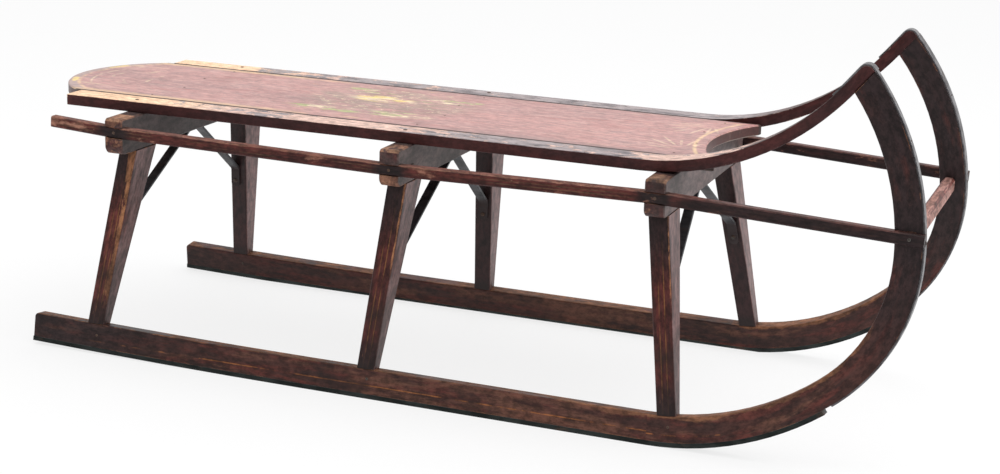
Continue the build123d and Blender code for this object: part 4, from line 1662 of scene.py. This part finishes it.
@dataclass
class Hardware:
    """All the visible heads of nails and screws."""

    slot_width: float = 0.26
    rises: dict[Head, float] = field(default_factory=lambda: {
        Head.ROUND_SCREW: 0.55, Head.FLAT_SCREW: 0.18, Head.NAIL: 0.30, Head.CUT_NAIL: 0.35})
    iron: Iron = Iron(
        "fastener_iron", (0.085, 0.075, 0.068), (0.040, 0.034, 0.030), rust_share=0.30, gloss=0.50)

    def build(self, groups: dict[Head, list[Fastener]]) -> None:
        """Makes one piece for each shape of head.

        Args:
            groups: Fasteners by the shape of their heads.
        """
        material = self.iron.build()
        for head, fasteners in groups.items():
            piece = HeadTree(head, material).grow(fasteners, self.rises[head], self.slot_width)
            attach(piece, BODY)
            LOG.info("made %d %s", len(fasteners), head.value)


@dataclass(frozen=True)
class Lamp:
    """Soft square lamp: where it hangs, how wide it is and its watts."""

    name: str
    place: tuple[float, float, float]
    size: float
    power: float

    def hang(self, target: Vector) -> None:
        """Hangs the lamp.

        Args:
            target: Where it points.
        """
        data = bpy.data.lights.new(self.name, "AREA")
        data.shape = "SQUARE"
        data.size = self.size
        data.energy = self.power
        lamp = link_object(self.name, data)
        lamp.location = self.place
        lamp.rotation_euler = (target - Vector(self.place)).to_track_quat("-Z", "Y").to_euler()


@dataclass
class Studio:
    """Pale floor, soft light and the camera."""

    eye: tuple[float, float, float] = (0.8273, -2.1559, 0.7729)
    azimuth: float = 20.38
    elevation: float = 14.90
    roll: float = 1.99
    focal_pixels: float = 1918.8
    image_width: float = 1000.0
    sensor: float = 36.0
    view_end: float = 60.0
    floor_half: float = 9.0
    floor_white: float = 0.78
    floor_colour: tuple[float, ...] = (0.90, 0.90, 0.905, 1.0)
    # the sky dims from 1 to this, as Y and a share of Z go from the first of the ends to the second
    sky_dim: float = 0.16
    sky_rise: float = 0.9
    sky_ends: tuple[float, float] = (0.5, -0.7)
    lit: tuple[float, float, float] = (0.0, 0.0, 0.2)
    lamps: tuple[Lamp, ...] = (
        Lamp("overhead", (0.2, 0.3, 2.6), 2.6, 30.0),
        Lamp("near_side", (-0.9, -2.6, 1.5), 1.6, 3.0),
        Lamp("front", (1.7, 0.1, 0.9), 0.9, 6.0),
    )

    def camera(self) -> None:
        """Sets the camera at the photograph's angle."""
        data = bpy.data.cameras.new("camera")
        data.sensor_fit = "HORIZONTAL"
        data.sensor_width = self.sensor
        data.lens = self.sensor * self.focal_pixels / self.image_width
        data.clip_end = self.view_end
        turn, tilt, roll = (math.radians(value) for value in (self.azimuth, self.elevation, self.roll))
        ahead = Vector((-math.sin(turn) * math.cos(tilt), math.cos(turn) * math.cos(tilt), -math.sin(tilt)))
        level = Vector((math.cos(turn), math.sin(turn), 0.0))
        right = level * math.cos(roll) + level.cross(ahead) * math.sin(roll)
        basis = Matrix((right, right.cross(ahead), -ahead)).transposed().to_4x4()
        camera = link_object("camera", data)
        camera.matrix_world = Matrix.Translation(self.eye) @ basis
        bpy.context.scene.camera = camera

    def floor(self) -> None:
        """Lays a pale floor that keeps the shadow and shows nearly white."""
        half = self.floor_half
        mesh = bpy.data.meshes.new("floor")
        corners = [(-half, -half, 0), (half, -half, 0), (half, half, 0), (-half, half, 0)]
        mesh.from_pydata(corners, [], [(0, 1, 2, 3)])
        floor = link_object("floor", mesh)
        material = bpy.data.materials.new("floor_white")
        material.use_nodes = True
        tree = material.node_tree
        tree.nodes.clear()
        matte = wire(tree, "ShaderNodeBsdfDiffuse", {"Color": self.floor_colour})
        glow = wire(tree, "ShaderNodeEmission", {"Color": WHITE})
        share = wire(tree, "ShaderNodeMath", {0: self.seen(tree), 1: self.floor_white}, operation="MULTIPLY")
        surface = wire(tree, "ShaderNodeMixShader", {0: share, 1: matte, 2: glow})
        add_node(tree, "ShaderNodeOutputMaterial", {"Surface": surface})
        mesh.materials.append(material)

    @staticmethod
    def seen(tree: bpy.types.NodeTree) -> Socket:
        """Mask of the rays from the camera, from gloss and through glass.

        Args:
            tree: Node tree of the floor.

        Returns:
            Value that is 1 for those rays.
        """
        path = add_node(tree, "ShaderNodeLightPath").outputs
        first = {0: path["Is Camera Ray"], 1: path["Is Glossy Ray"]}
        second = {0: wire(tree, "ShaderNodeMath", first, operation="MAXIMUM"), 1: path["Is Transmission Ray"]}
        return wire(tree, "ShaderNodeMath", second, operation="MAXIMUM")

    def world(self) -> None:
        """White surroundings behind and above, dimmer on the near side of the sled."""
        world = bpy.data.worlds.new("studio")
        bpy.context.scene.world = world
        world.use_nodes = True
        tree = world.node_tree
        tree.nodes.clear()
        place = wire(tree, "ShaderNodeTexCoord", {}, "Generated")
        split = add_node(tree, "ShaderNodeSeparateXYZ", {0: place}).outputs
        lifted = {0: split["Z"], 1: self.sky_rise, 2: split["Y"]}
        height = wire(tree, "ShaderNodeMath", lifted, operation="MULTIPLY_ADD")
        high, low = self.sky_ends
        fade = {"Value": height, "From Min": low, "From Max": high, "To Min": self.sky_dim, "To Max": 1.0}
        strength = wire(tree, "ShaderNodeMapRange", fade, interpolation_type="SMOOTHSTEP")
        back = wire(tree, "ShaderNodeBackground", {"Color": WHITE, "Strength": strength})
        add_node(tree, "ShaderNodeOutputWorld", {"Surface": back})

    def build(self) -> None:
        """Makes the floor, the light and the camera."""
        self.floor()
        self.world()
        for lamp in self.lamps:
            lamp.hang(Vector(self.lit))
        self.camera()
        bpy.context.scene.view_settings.view_transform = "Standard"
        LOG.info("studio is set")


def main() -> None:
    """Dresses the sled, adds its fasteners and sets the studio."""
    logging.basicConfig(level=logging.INFO, format="%(name)s: %(message)s")
    deck, rails, runners, trestles, sticks = Deck(), TopRails(), Runners(), Trestles(), SideRails()
    for part in (deck, rails, runners, trestles, sticks):
        part.dress()
    Hardware().build({
        Head.NAIL: deck.nails() + rails.nails() + sticks.nails() + runners.nails(trestles.feet()),
        Head.ROUND_SCREW: trestles.screws(),
        Head.FLAT_SCREW: runners.strap_screws(),
        Head.CUT_NAIL: trestles.wedges(),
    })
    Studio().build()


if __name__ == "__main__":
    main()
